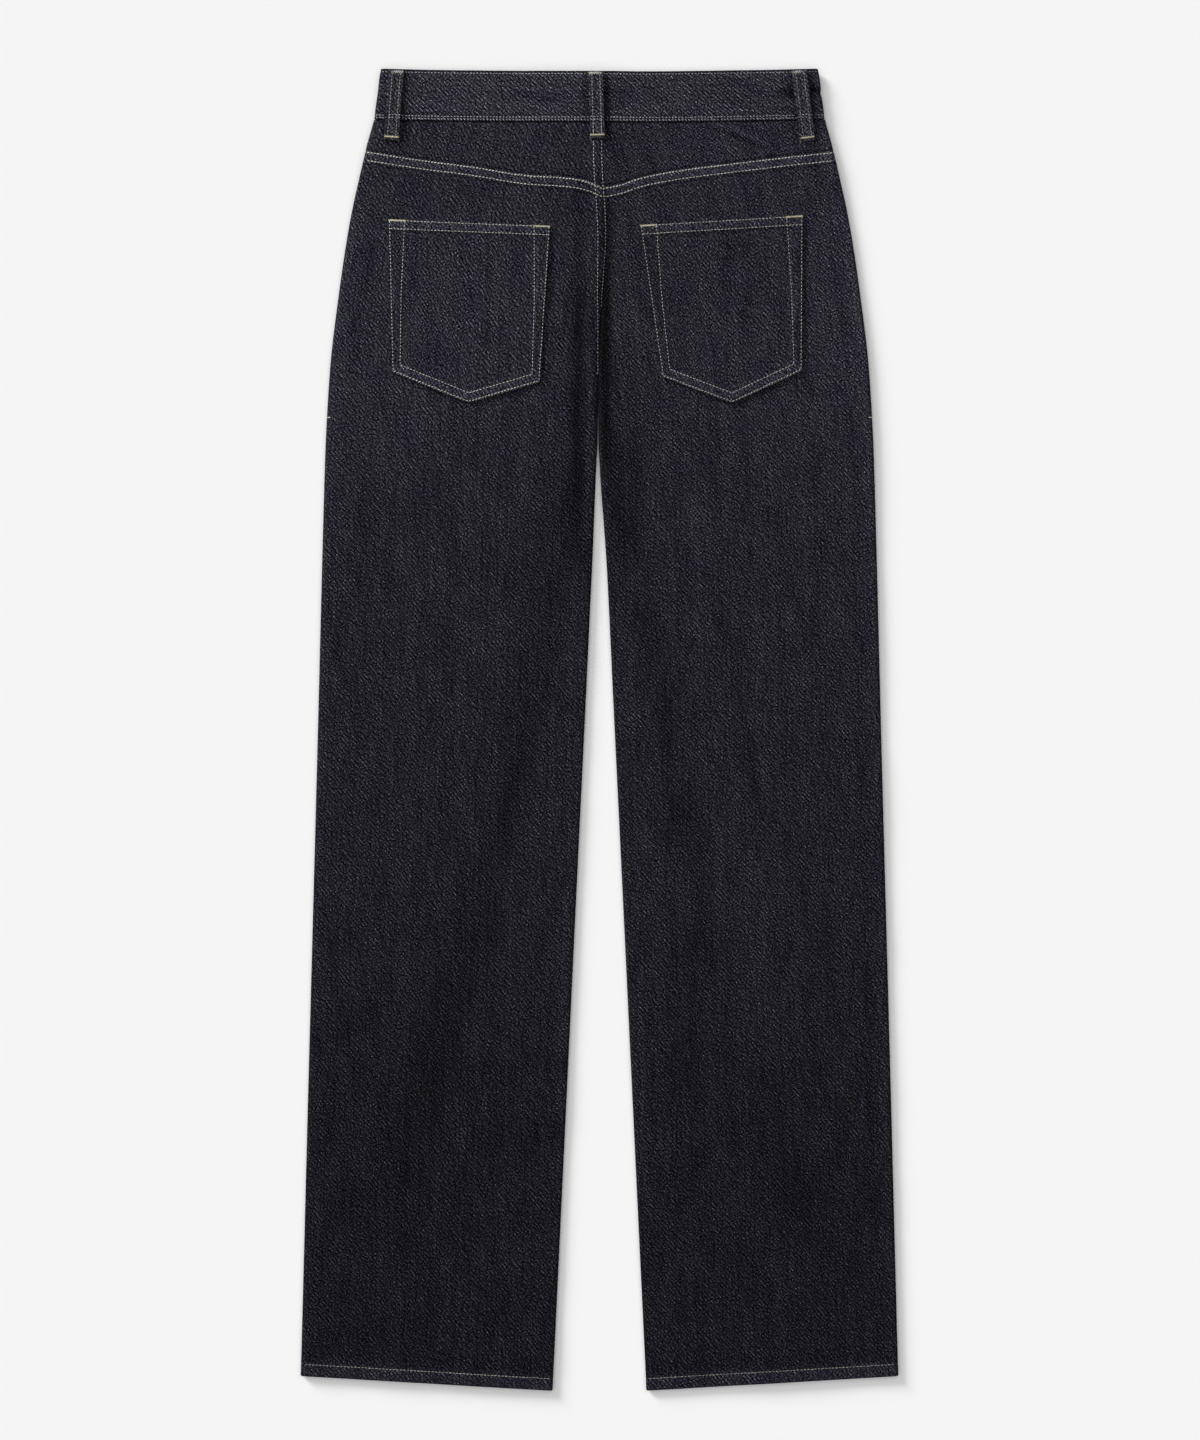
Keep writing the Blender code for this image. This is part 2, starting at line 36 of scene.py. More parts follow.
# Cloth, and the room left between pieces
DENIM = 1.2
WAISTBAND_CLOTH = 2.4
HEM_CLOTH = 2.6
FACING_CLOTH = 1.0
SEAM_GAP = 0.3
BENEATH = DENIM + SEAM_GAP

# Heights of the seams where they meet the side seam, up from the garment's middle
TOP = 528.8
WAIST_SEAM = 488.4
YOKE_SEAM = 458.6
THIGH = 100.0
HEM = -516.8
HEM_DEPTH = 10.0
HEM_RIPPLE = 9.5
HEM_DROP = 12.0
BACK_WAIST_DROP = 2.2
FRONT_WAIST_DROP = 26.0
SHAPING_STARTS = 250.0

# Waistband: how deep it is, and how high its outer face lies at the front and at the back
BAND_DEEP = 40.3
BAND_BOTTOM = 2.2
BAND_TOP = 7.8
# x of the end of its overlap and its underlap, and where and how steeply the underlap goes
# behind the overlap
OVERLAP_END = 1.0
UNDERLAP_END = -38.0
UNDERLAP_START = 14.0
UNDERLAP_RISE = 10.0
UNDERLAP_LIFT = WAISTBAND_CLOTH + SEAM_GAP

# The button and the waistband's overlap push up the back's middle
HUMP_HEIGHT = 2.6
HUMP_MIDDLE = -17.0
HUMP_HALF_WIDTH = 42.0
HUMP_FROM = 405.0
HUMP_FULL = 462.0

# Scoop pockets in the front, the rows in from their edge, and how far the facing runs on
# under that edge and over what distance it goes down there
SCOOP_WIDE = 78.0
SCOOP_DEEP = 68.0
SCOOP_ROWS = (1.6, 7.6)
FACING_UNDER = 10.0
FACING_RISE = 40.0

# Belt loops; between their sewn ends they stand this far off the waistband
LOOP_WIDTH = 12.0
LOOP_CLOTH = 1.7
LOOP_ARCH = 1.6
LOOP_LENGTH = 55.0
FRONT_LOOP_X = 108.0

# x and height of the button's middle
BUTTON_PLACE = (-13.0, 484.0)

ZIP_WIDTH = 28.0
ZIP_TOP = 463.0
ZIP_BOTTOM = 335.0
ZIP_MIDDLE = -6.0

# Sewing: felled seams are folded over and held by two rows, which draw the cloth in
FELL_WIDTH = 8.0
FELL_LIFT = 0.85
FELL_ROWS = (0.8, 7.3)
FELL_TOP = 4.2
ROW_DENT = 0.22
ROW_HALF_WIDTH = 0.8
SEAM_DIP = 1.0
LIES_ON = 0.05
# Radii that the cloth's edges are rounded to
FOLDED_EDGE = 0.7
SIDE_EDGE_ROUND = 0.4
THICK_EDGE = 0.9
# Doubled cloth is drawn paler: partly a painted highlight, as it stands up to the light, and
# partly as it is rubbed paler
DOUBLED_WEAR_AND_HIGHLIGHT = 0.42
HEM_WEAR_AND_HIGHLIGHT = 0.76
# The cloth is painted lighter, as highlight, where it turns over at the side seams and the legs'
# inner edges
SIDE_HIGHLIGHT = {-1: 0.14, 1: 0.26}
INNER_HIGHLIGHT = 0.20
TURN_REACH = 17.0

# The front's outer face is kept this far up, so that its thread stays off the table
FRONT_CLEAR = 0.35

SIDES = ((-1, "left"), (1, "right"))


class Table:
    """Rows of sizes under named columns, in order of the first, read smoothly between rows."""

    def __init__(self, columns, *rows):
        self.row_type = namedtuple("Row", columns)
        self.sizes = np.array(rows)

    def read(self, places):
        keys = self.sizes[:, 0]
        spans = np.diff(keys)
        steps = np.diff(self.sizes, axis=0) / spans[:, None]
        before, after = steps[:-1], steps[1:]
        same_way = before * after > 0.0
        between = 2.0 * before * after / np.where(same_way, before + after, 1.0)
        slopes = np.vstack([steps[:1], np.where(same_way, between, 0.0), steps[-1:]])
        index = np.clip(np.searchsorted(keys, places) - 1, 0, len(spans) - 1)
        span = spans[index]
        t = np.clip((places - keys[index]) / span, 0.0, 1.0)[..., None]
        span = span[..., None]
        low, high = self.sizes[index], self.sizes[index + 1]
        sizes = low + (high - low) * (3.0 - 2.0 * t) * t * t
        sizes += slopes[index] * span * t * (1.0 - t) ** 2
        sizes += slopes[index + 1] * span * t * t * (t - 1.0)
        return self.row_type(*np.moveaxis(sizes, -1, 0))


# The laid-out garment, cut across at rising heights: the model's own solids, to a millimetre
# or so, with the cloth eased out to where it lies.
SECTIONS = Table(
    "height half_width half_gap back_seam fly_edge floor thick back_sink front_sink",
    (-528.8, 239.50, 37.60, 0.0, 0.0, 0.0, 5.9, 1.00, 1.0),
    (-500.0, 238.70, 36.20, 0.0, 0.0, 0.0, 5.9, 1.00, 1.0),
    (-300.0, 233.50, 26.60, 0.0, 0.0, 0.0, 5.7, 1.00, 1.0),
    (-100.0, 228.10, 17.00, 0.0, 0.0, 0.0, 5.8, 1.00, 1.0),
    (24.00, 224.80, 10.95, 0.0, 0.0, 0.0, 6.0, 1.00, 1.0),
    (120.0, 222.40, 6.40, 0.0, 0.0, 0.0, 6.2, 1.00, 1.0),
    (216.0, 219.70, 1.10, -1.2, -1.2, 0.0, 6.3, 1.00, 1.0),
    (232.0, 219.10, 0.35, -1.2, -1.2, 0.0, 6.3, 0.95, 0.9),
    (290.0, 215.60, 0.15, -0.8, 0.0, 0.0, 6.2, 0.60, 0.0),
    (347.0, 208.90, 0.15, 1.5, 1.0, 0.0, 6.2, 0.35, 0.0),
    (405.0, 200.10, 0.15, 5.0, 1.0, 0.7, 5.4, 0.20, 0.0),
    (450.0, 190.30, 0.15, 2.6, 1.0, 2.6, 4.7, 0.05, 0.0),
    (470.0, 185.50, 0.15, 2.2, 1.0, 2.7, 4.6, 0.02, 0.0),
    (489.6, 180.20, 0.15, 2.0, 1.0, 2.7, 4.6, 0.00, 0.0),
    (528.8, 175.00, 0.15, 2.0, 1.0, 2.7, 4.6, 0.00, 0.0),
)

# Height of the yoke seam on each side, by distance from the centre back seam.
YOKE_LINE = Table(
    "from_seam left right",
    (0.0, 429.0, 429.0),
    (15.0, 435.0, 432.0),
    (30.0, 437.4, 437.2),
    (60.0, 439.4, 443.2),
    (100.0, 445.8, 448.4),
    (150.0, 452.4, 454.3),
    (190.0, 458.6, 458.6),
)

# How light the cloth is, by height: it darkens from the waist to the hems, partly by painted
# shade where less light falls and partly as its dye is darker.
SHADES = Table(
    "height tone",
    (-528.8, 0.425),
    (-344.0, 0.44),
    (-104.0, 0.60),
    (150.0, 0.73),
    (300.0, 0.94),
    (400.0, 0.96),
    (440.0, 0.90),
    (528.8, 0.88),
)

# Folds and creases, from a top place to a bottom one: ridges up, troughs down.  Bow is how
# far the middle lies off the straight line, and lean makes one flank steeper.
Crease = namedtuple("Crease", "top_x top bottom_x bottom bow half_width lift lean",
                    defaults=(0.0,))


def creases(columns, *rows):
    return tuple(Crease(**dict(zip(columns.split(), row))) for row in rows)


BACK_CREASES = creases(
    "top_x top bottom_x bottom bow half_width lift lean",
    # The large folds, as the solids have them
    (-13.5, 425, -13, 175, -2.0, 5.0, -2.6, 0.0),
    (-5.5, 425, -6, 225, -1.8, 4.5, 1.9, 0.0),
    (9.5, 430, 8, 190, 0.0, 5.5, -2.8, 0.0),
    (22, 260, 30, 160, 0.0, 9.0, 1.4, 0.0),
    (-18, 250, -160, -370, 23.0, 19.0, -2.2, 0.0),
    (15, 250, 122, -200, -4.5, 18.0, -2.2, 0.0),
    (95, 150, 138, -110, -4.5, 12.0, -1.3, 0.0),
    # Beside the crotch
    (16, 262, 44, 96, -3.0, 6.0, -0.7, 0.3),
    (4, 300, 22, 196, -2.0, 4.0, -0.6, -0.3),
    (-24, 268, -38, 120, 3.0, 7.0, 0.5, 0.2),
    (32, 300, 58, 172, 2.0, 8.0, -0.45, 0.3),
    (-34, 330, -42, 226, -2.0, 7.0, 0.45, 0.2),
    # Down the wearer's right leg
    (104, 150, 147, -95, -5.0, 5.0, 0.45, -0.4),
    (62, 118, 92, -60, -6.0, 9.0, 0.6, 0.2),
    (150, 60, 168, -110, 3.0, 11.0, -0.35, 0.0),
    (84, -130, 150, -330, 6.0, 15.0, 0.5, 0.1),
    (176, 190, 188, 20, 4.0, 9.0, -0.3, 0.0),
    (70, -250, 104, -420, -5.0, 14.0, -0.4, 0.2),
    # Down the wearer's left leg
    (-60, 70, -96, -110, 5.0, 9.0, 0.6, -0.2),
    (-108, 120, -132, -60, -4.0, 12.0, -0.35, 0.1),
    (-96, -150, -150, -300, 5.0, 14.0, 0.5, -0.1),
    (-176, 170, -190, 10, -4.0, 10.0, -0.3, 0.0),
    (-70, -220, -92, -400, 6.0, 13.0, -0.35, 0.0),
    (-150, -60, -182, -220, -4.0, 12.0, 0.3, 0.0),
    # The seat and yokes
    (78, 484, 134, 466, 3.0, 3.2, -0.6, 0.3),
    (104, 487, 150, 460, 3.0, 3.0, -0.5, -0.2),
    (126, 478, 142, 461, 1.0, 2.4, -0.55, 0.3),
    (64, 476, 100, 462, 2.0, 4.0, 0.35, 0.0),
    (-40, 484, -22, 452, 2.0, 4.5, -0.4, 0.2),
    (-10, 482, -14, 440, 0.0, 3.0, -0.4, 0.0),
    (14, 484, 20, 440, 0.0, 5.0, -0.4, 0.2),
    (-186, 440, -182, 330, 2.0, 7.0, -0.3, 0.0),
    (180, 436, 184, 340, -2.0, 7.0, -0.35, 0.0),
    # The waistband's back
    (137, 517, 154, 506, 0.6, 2.6, -0.7, 0.3),
    (163, 522, 178, 506, 0.5, 2.2, -0.8, -0.3),
    (-66, 509, -34, 499, 0.5, 3.5, -0.45, 0.0),
    (-100, 516, -140, 505, 0.5, 6.0, -0.25, 0.0),
    (60, 512, 112, 500, 0.5, 7.0, -0.25, 0.0),
)
# Painted shade where deep folds, the pockets and the belt loops keep the light out, and painted
# highlight where lift is below zero: lift is the share of the light that is lost.
BACK_SHADE = creases(
    "top_x top bottom_x bottom bow half_width lift",
    # The middle and the crotch
    (2, 485, 2, 60, 0.0, 48.0, 0.24),
    (7, 440, 5, 215, -2.0, 6.5, 0.52),
    (6, 262, 18, 140, 0.0, 8.0, 0.32),
    (22, 250, 28, 130, 2.0, 7.0, 0.22),
    (-12, 425, -20, 110, 0.0, 7.0, 0.48),
    (-5, 440, -7, 230, -1.0, 3.5, -0.12),
    # Down the legs
    (-20, 230, -106, -210, 8.0, 20.0, 0.27),
    (-92, -140, -172, -440, -6.0, 20.0, 0.25),
    (26, 165, 88, -200, 1.0, 15.0, 0.24),
    (97, 145, 139, -115, -2.0, 5.0, 0.27),
    (80, -150, 64, -310, 0.0, 20.0, 0.13),
    (110, -240, 182, -440, 0.0, 20.0, 0.19),
    (112, -90, 142, -320, 0.0, 32.0, -0.12),
    (62, 268, 85, 98, 0.0, 4.5, -0.16),
    # Below the pockets, and over the wearer's right one
    (100, 280, 100, 160, 0.0, 60.0, 0.14),
    (-96, 280, -88, 160, 0.0, 46.0, 0.08),
    (90, 440, 110, 330, 0.0, 60.0, 0.09),
    # Wrinkles in the yoke and the waistband
    (79, 484, 124, 468, 1.5, 2.0, 0.38),
    (82, 487, 128, 472, 1.5, 2.4, -0.34),
    (95, 483, 139, 461.5, 0.0, 2.4, 0.38),
    (104, 482.5, 144, 463, 0.0, 1.5, -0.34),
    (160, 510, 142, 507, 0.0, 4.0, 0.46),
    (154, 514, 130, 504.5, 0.0, 2.0, 0.40),
    (148, 521, 130, 512, 0.0, 3.0, -0.16),
    (168, 514, 182, 506, 0.0, 3.2, 0.55),
    (-64, 508, -39, 503, 0.0, 3.0, 0.22),
    (12, 508, 190, 508, 0.0, 26.0, 0.12),
    (40, 464, 186, 472, 0.0, 11.0, -0.06),
    # Beside the belt loops
    (-154.6, 545, -158.4, 462, 0.0, 2.4, 0.55),
    (-170.6, 545, -174.4, 462, 0.0, 2.4, 0.20),
    (4.9, 545, 6.5, 462, 0.0, 3.3, 0.68),
    (-11.8, 545, -10.2, 462, 0.0, 3.2, 0.42),
    (166.6, 545, 174.6, 462, 0.0, 3.1, 0.60),
    (150.4, 545, 158.4, 462, 0.0, 3.2, 0.42),
)
# The front's creases are dents, because it lies flat on the table.
FRONT_CREASES = creases(
    "top_x top bottom_x bottom bow half_width lift lean",
    (-30, 300, -52, 180, 4.0, 7.0, 0.7, 0.2),
    (-14, 268, -30, 150, -2.0, 5.0, 0.6, 0.0),
    (28, 306, 46, 170, -3.0, 6.0, 0.7, -0.2),
    (12, 272, 32, 140, 2.0, 5.0, 0.6, 0.2),
    (-66, 140, -112, -90, 6.0, 14.0, 0.8, 0.0),
    (70, 120, 120, -120, -6.0, 13.0, 0.8, 0.1),
    (-140, -80, -168, -300, -5.0, 15.0, 0.5, 0.0),
    (130, -110, 160, -320, 6.0, 15.0, 0.5, 0.0),
    (-90, -240, -120, -430, 5.0, 13.0, 0.4, 0.0),
    (96, -230, 110, -420, -5.0, 12.0, 0.4, 0.0),
    (-44, 452, -72, 352, 5.0, 8.0, 0.5, 0.0),
    (40, 450, 66, 344, -5.0, 8.0, 0.5, 0.0),
    (-150, 380, -172, 240, 3.0, 9.0, 0.4, 0.0),
    (152, 376, 170, 226, -3.0, 9.0, 0.4, 0.0),
)

# Back patch pockets: x and height of each corner, depth of the hem and of the turned edges
Pocket = namedtuple("Pocket", "outer_top inner_top inner_bottom tip outer_bottom")
POCKETS = {
    -1: Pocket((-169.2, 408.7), (-38.8, 403.5), (-47.2, 278.0), (-104.8, 261.2), (-166.2, 286.1)),
    1: Pocket((163.1, 411.9), (31.9, 404.1), (49.9, 282.3), (106.0, 260.9), (162.4, 287.2)),
}
POCKET_HEM = 8.5
POCKET_TURNING = 9.0
# Columns beside a pocket's upright edges, by share of its width, and how many lead there
POCKET_EDGE = ((0.003, 1), (0.008, 1), (0.085, 8), (0.12, 2))
# Painted shadow of the pockets on the cloth just below them and to their right.
POCKET_SHADE = tuple(
    Crease(start[0] + 1.2, start[1] - 1.4, end[0] + 1.2, end[1] - 1.4, 0.0, 2.2, 0.36, 0.0)
    for side, pocket in POCKETS.items()
    for start, end in (
        (pocket.outer_bottom, pocket.tip),
        (pocket.tip, pocket.inner_bottom),
        (pocket.outer_top, pocket.outer_bottom) if side > 0 else pocket[1:3],
    )
)

# Belt loops on the back: x and height of the middle of each end.
BackLoop = namedtuple("BackLoop", "name top bottom")
BACK_LOOPS = (
    BackLoop("belt_loop_left", (-162.1, 527.8), (-166.3, 470.8)),
    BackLoop("belt_loop_back", (-3.1, 526.4), (-1.4, 472.0)),
    BackLoop("belt_loop_right", (159.4, 527.8), (166.6, 470.2)),
)
FRONT_LOOPS = (("belt_loop_front_left", -1), ("belt_loop_front_right", 1))


def blend(low, high, share):
    return low + (high - low) * share


def ramp(value, start, end):
    """0 at start, 1 at end, straight between."""
    return np.clip((value - start) / (end - start), 0.0, 1.0)


def smooth(value, start, end):
    """0 at start, 1 at end, eased at both."""
    t = ramp(value, start, end)
    return t * t * (3.0 - 2.0 * t)


def dent(distance, half_width):
    """1 at no distance, falling softly away."""
    return np.exp(-(distance / half_width) ** 2)


def round_off(distance, radius):
    """How far a rounded edge has dropped at a distance in from it."""
    left = np.clip(radius - distance, 0.0, radius)
    return radius - np.sqrt(radius * radius - left * left)


def uneven(x, y, spacing, seed):
    """Smooth rise and fall between -1 and 1, its humps about this far apart."""
    grid = np.random.default_rng(seed).uniform(-1.0, 1.0, (97, 97))
    x, y = np.broadcast_arrays(x, y)
    column, row = np.floor(x / spacing).astype(int), np.floor(y / spacing).astype(int)
    across, along = x / spacing - column, y / spacing - row
    across, along = (t * t * (3.0 - 2.0 * t) for t in (across, along))

    def corner(right, up):
        return grid[(row + up) % 97, (column + right) % 97]

    low = blend(corner(0, 0), corner(1, 0), across)
    high = blend(corner(0, 1), corner(1, 1), across)
    return blend(low, high, along)


def stations(first, *stops):
    """Places in order: each stop is a place and the number of steps that lead to it."""
    line = [float(first)]
    for place, steps in stops:
        line += list(np.linspace(line[-1], place, steps + 1)[1:])
    return np.array(line)


# ---- The form of the laid-out garment

Half = namedtuple("Half", "outer inner radius middle sink cloth")


def half_shape(side, face, height):
    """One face of one half of the garment, cut across at these heights."""
    row = SECTIONS.read(height)
    seam = row.back_seam if face > 0 else row.fly_edge
    inner = side * seam + row.half_gap
    radius = row.thick / 2.0
    sink = row.back_sink if face > 0 else row.front_sink
    cloth = row.half_width - inner + (math.pi - 2.0) * radius
    return Half(row.half_width, inner, radius, row.floor + radius, sink, cloth)


def half_width_at(height):
    return float(SECTIONS.read(np.array(height)).half_width)


def round_edge(cloth, radius):
    """How far in, and what share of the way up, cloth has come round a folded edge."""
    angle = np.minimum(cloth / radius, math.pi / 2.0)
    flat = np.maximum(cloth - radius * math.pi / 2.0, 0.0)
    return radius * (1.0 - np.cos(angle)) + flat, np.sin(angle)


def crease_lift(folds, x, y):
    """Lift of the cloth where its folds and creases run; each fades out at its two ends."""
    lift = np.zeros(np.broadcast(x, y).shape)
    for crease in folds:
        run_x, run_y = crease.bottom_x - crease.top_x, crease.bottom - crease.top
        length = math.hypot(run_x, run_y)
        t = ((x - crease.top_x) * run_x + (y - crease.top) * run_y) / length ** 2
        off = ((y - crease.top) * run_x - (x - crease.top_x) * run_y) / length
        t = np.clip(t, 0.0, 1.0)
        across = off - 4.0 * crease.bow * t * (1.0 - t)
        width = crease.half_width * (1.0 + crease.lean * np.tanh(across / crease.half_width))
        lift += crease.lift * np.sin(math.pi * t) ** 0.6 * dent(across, width)
    return lift


def hump_lift(x, y):
    across = (x - HUMP_MIDDLE) / HUMP_HALF_WIDTH
    return HUMP_HEIGHT * np.exp(-across ** 4) * smooth(y, HUMP_FROM, HUMP_FULL)


def back_lift(x, y):
    """All that lifts the back's cloth off its flat form: folds, creases and slack."""
    slack = 0.6 * uneven(x, y, 74.0, seed=3) + 0.3 * uneven(x, y, 33.0, seed=5)
    slack += 0.12 * uneven(x, y, 11.0, seed=7)
    return crease_lift(BACK_CREASES, x, y) + slack + hump_lift(x, y)


def front_lift(x, y):
    slack = 0.25 * (1.0 + uneven(x, y, 60.0, seed=11)) + 0.06 * uneven(x, y, 17.0, seed=13)
    return crease_lift(FRONT_CREASES, x, y) + np.maximum(slack, 0.0) + FRONT_CLEAR


def back_top(x, y):
    """Height of the back's outer face, away from its edges."""
    row = SECTIONS.read(y)
    flat = np.where(y > WAIST_SEAM, BAND_TOP, row.floor + row.thick)
    return flat + back_lift(x, y)


def back_height(side, level, share):
    """Height on a back line that leaves the side seam at level, share of the way in."""
    shape = half_shape(side, 1, level)
    line = YOKE_LINE.read((1.0 - share) * (shape.outer - shape.inner))
    yoke_drop = YOKE_SEAM - (line.left if side < 0 else line.right)
    waist_drop = BACK_WAIST_DROP * (1.0 - (1.0 - share) ** 2)
    height = level - HEM_DROP * share * (1.0 - ramp(level, HEM, THIGH))
    below = height - yoke_drop * ramp(level, SHAPING_STARTS, YOKE_SEAM)
    above = height - blend(yoke_drop, waist_drop, ramp(level, YOKE_SEAM, WAIST_SEAM))
    return np.where(level <= YOKE_SEAM, below, above)


def front_height(side, level, share):
    """Height on a front line that leaves the side seam at level, share of the way in."""
    height = level - HEM_DROP * share * (1.0 - ramp(level, HEM, THIGH))
    waist_drop = FRONT_WAIST_DROP * (1.0 - (1.0 - share) ** 2)
    return height - waist_drop * ramp(level, SHAPING_STARTS, WAIST_SEAM)


def face_points(side, face, height, from_side):
    """Points of a face, this far round the cloth from the side seam, and how far each is
    from the seam or edge at the garment's middle."""
    shape = half_shape(side, face, height)
    inset, rise = round_edge(from_side, shape.radius)
    inner_inset, inner_rise = round_edge(shape.cloth - from_side, shape.radius)
    out = np.where(from_side < shape.cloth / 2.0, shape.outer - inset, shape.inner + inner_inset)
    x = side * out
    sunk = shape.sink * (1.0 - inner_rise)
    lift = back_lift(x, height) if face > 0 else front_lift(x, height)
    up = shape.middle + face * shape.radius * (rise - sunk) + lift * rise * (1.0 - sunk)
    return np.stack([x, height, up], axis=-1), out - shape.inner


# Places across a panel: fixed + share * the cloth's width there.
Columns = namedtuple("Columns", "fixed share")


def columns(near_side, steps, near_middle):
    """Fixed distances from the side seam, even steps, then fixed distances from the middle."""
    t = np.linspace(0.0, 1.0, steps + 1)[1:-1]
    fixed = [near_side, blend(near_side[-1], -near_middle[0], t), -near_middle]
    share = [0.0 * near_side, t, 0.0 * near_middle + 1.0]
    return Columns(np.concatenate(fixed), np.concatenate(share))


Grid = namedtuple("Grid", "points from_side from_middle height")


def panel_grid(side, face, level, extra, across):
    """A panel's outer face: a row for each level, its height shifted by extra."""
    height_of = back_height if face > 0 else front_height
    level, extra = level[:, None], np.broadcast_to(extra, level.shape)[:, None]
    width = half_shape(side, face, level).cloth
    height = height_of(side, level, across.fixed / width + across.share) + extra
    from_side = across.fixed + across.share * half_shape(side, face, height).cloth
    points, from_middle = face_points(side, face, height, from_side)
    return Grid(points, from_side, from_middle, height)


# ---- Meshes

cloth_pieces = {}


def add_mesh(name, points, faces, finishes, finish_of=None, crisp=50.0, **attributes):
    """A mesh in metres, with a vector for each point under each attribute's name."""
    mesh = bpy.data.meshes.new(name)
    mesh.from_pydata(np.asarray(points) * METRES_PER_MM, [], np.asarray(faces).tolist())
    for finish in finishes:
        mesh.materials.append(finish)
    if finish_of is not None:
        mesh.polygons.foreach_set("material_index", finish_of)
    for key, vectors in attributes.items():
        made = mesh.attributes.new(key, "FLOAT_VECTOR", "POINT")
        made.data.foreach_set("vector", np.asarray(vectors, np.float32).ravel())
    mesh.shade_smooth()
    mesh.set_sharp_from_angle(angle=math.radians(crisp))
    piece = bpy.data.objects.new(name, mesh)
    bpy.context.scene.collection.objects.link(piece)
    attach(piece, "root")
    return piece


def add_shell(name, points, detail, cloth, grain, outward, finishes):
    """Cloth: an outer face raised by detail over a form, an inner face cloth below it."""
    count, width = points.shape[:2]
    normal = np.cross(np.gradient(points, axis=1), np.gradient(points, axis=0)) * outward
    normal /= np.linalg.norm(normal, axis=2, keepdims=True)
    detail = np.broadcast_to(detail, (count, width))[..., None]
    cloth = np.broadcast_to(cloth, (count, width))[..., None]
    outer, inner = points + normal * detail, points - normal * cloth
    index = np.arange(count * width).reshape(count, width)
    quads = np.stack([index[:-1, :-1], index[:-1, 1:], index[1:, 1:], index[1:, :-1]], axis=-1)
    quads = quads.reshape(-1, 4)
    if outward < 0:
        quads = quads[:, ::-1]
    below = quads[:, ::-1] + count * width
    edge = np.concatenate([index[0, :], index[1:, -1], index[-1, -2::-1], index[-2::-1, 0]])
    if outward < 0:
        edge = edge[::-1]
    start, end = edge[:-1], edge[1:]
    rim = np.stack([end, start, start + count * width, end + count * width], axis=-1)
    faces = np.concatenate([quads, below, rim])
    finish_of = np.zeros(len(faces), np.int32)
    finish_of[len(quads):2 * len(quads)] = len(finishes) - 1
    both = np.concatenate([outer.reshape(-1, 3), inner.reshape(-1, 3)])
    grain = np.tile(np.stack(np.broadcast_arrays(*grain), axis=-1).reshape(-1, 3), (2, 1))
    piece = add_mesh(name, both, faces, finishes, finish_of, grain=grain)
    cloth_pieces[name] = piece
    return piece


def tone(x, y, face=1, shades=BACK_SHADE):
    """How light the cloth is: it darkens from the waist to the hems, partly by painted shade, and
    on the back it takes painted shade in deep folds.
    """
    return SHADES.read(y).tone * (1.0 - (crease_lift(shades, x, y) if face > 0 else 0.0))


def felled(into, share=1.0):
    """Lift of a felled seam, by distance in from its folded edge, share of its width shown."""
    ends = FELL_WIDTH * share
    lift = FELL_LIFT * (1.0 - smooth(into, ends, ends + 2.2))
    for row in FELL_ROWS:
        lift = lift - ROW_DENT * dent(into - row * share, ROW_HALF_WIDTH)
    return lift - round_off(into, FOLDED_EDGE)


def pucker(x, y, distance, reach, seed):
    """Cloth bunches a little beside a seam, which the thread has drawn up."""
    return 0.2 * uneven(x, y, 5.5, seed) * dent(distance, reach)


def overhang(height):
    """How far the left back is folded over the right along the centre back seam."""
    over = 0.4 + 0.8 * dent(height - 375.0, 40.0)
    return over * smooth(height, 262.0, 292.0)


def seam_share(height):
    """Share of the centre back seam's width that shows: it turns on edge into the crotch."""
    return 0.12 + 0.88 * smooth(height, 290.0, 410.0)


def centre_seam(side, grid):
    """Lays the left back over the right at centre back: points, lift and cloth below."""
    points, into = grid.points.copy(), grid.from_middle
    seat = smooth(grid.height, 262.0, 325.0)
    if side > 0:
        return points, np.zeros(into.shape), np.full(into.shape, DENIM)
    over = overhang(grid.height)
    reach = over * (1.0 - ramp(into, 0.0, 2.0))
    points[..., 0] += reach
    lift = felled(into + over - reach, seam_share(grid.height)) * seat
    cloth = blend(DENIM, -LIES_ON, smooth(reach - into, -0.3, 0.0) * (over > 0.0))
    return points, lift, cloth


# Places across and up the panels, close together at edges, seams and rows of stitches
SIDE_EDGE = stations(0.0, (0.5, 2), (4.6, 5), (10.5, 3))
MIDDLE_EDGE = stations(12.0, (9.4, 2), (8.0, 2), (7.4, 1), (4.2, 5), (1.6, 4), (0.0, 4))
BACK_COLUMNS = columns(SIDE_EDGE, 74, MIDDLE_EDGE)
FRONT_COLUMNS = columns(SIDE_EDGE, 46, stations(10.0, (4.7, 3), (0.0, 6)))
YOKE_ROWS = columns(stations(0.0, (3.6, 3), (7.6, 12)), 22, stations(3.6, (1.8, 3), (0.0, 5)))
HEM_ROWS = stations(HEM, (HEM + 0.4, 2), (HEM + 1.0, 2), (HEM + 8.6, 3), (HEM + 9.2, 1))
ABOVE_HEM = stations(HEM + 9.6, (HEM + 10.6, 3), (HEM + 13.0, 2))
# Rows across the yoke seam, by distance above its middle
ACROSS_SEAM = stations(-6.6, (-4.0, 4), (-2.2, 3), (2.2, 4), (FELL_TOP, 6))


def hem_detail(grid, level):
    """The turned-up hem: a rounded edge, a sunk row and the skewed ripple of a hem."""
    up = np.broadcast_to(level[:, None] - HEM, grid.height.shape)
    ripple = np.sin(2.0 * math.pi * (grid.points[..., 0] + 0.8 * up) / HEM_RIPPLE)
    ripple = ripple * uneven(grid.points[..., 0], up, 21.0, seed=17)
    detail = (0.1 + 0.16 * ripple) * (1.0 - smooth(up, HEM_DEPTH, HEM_DEPTH + 3.0))
    detail = detail - ROW_DENT * dent(up - HEM_DEPTH + 0.4, ROW_HALF_WIDTH)
    rounded = round_off(up, THICK_EDGE)
    cloth = blend(HEM_CLOTH, DENIM, smooth(up, HEM_DEPTH, HEM_DEPTH + 1.0))
    return detail - rounded, cloth - 0.8 * rounded


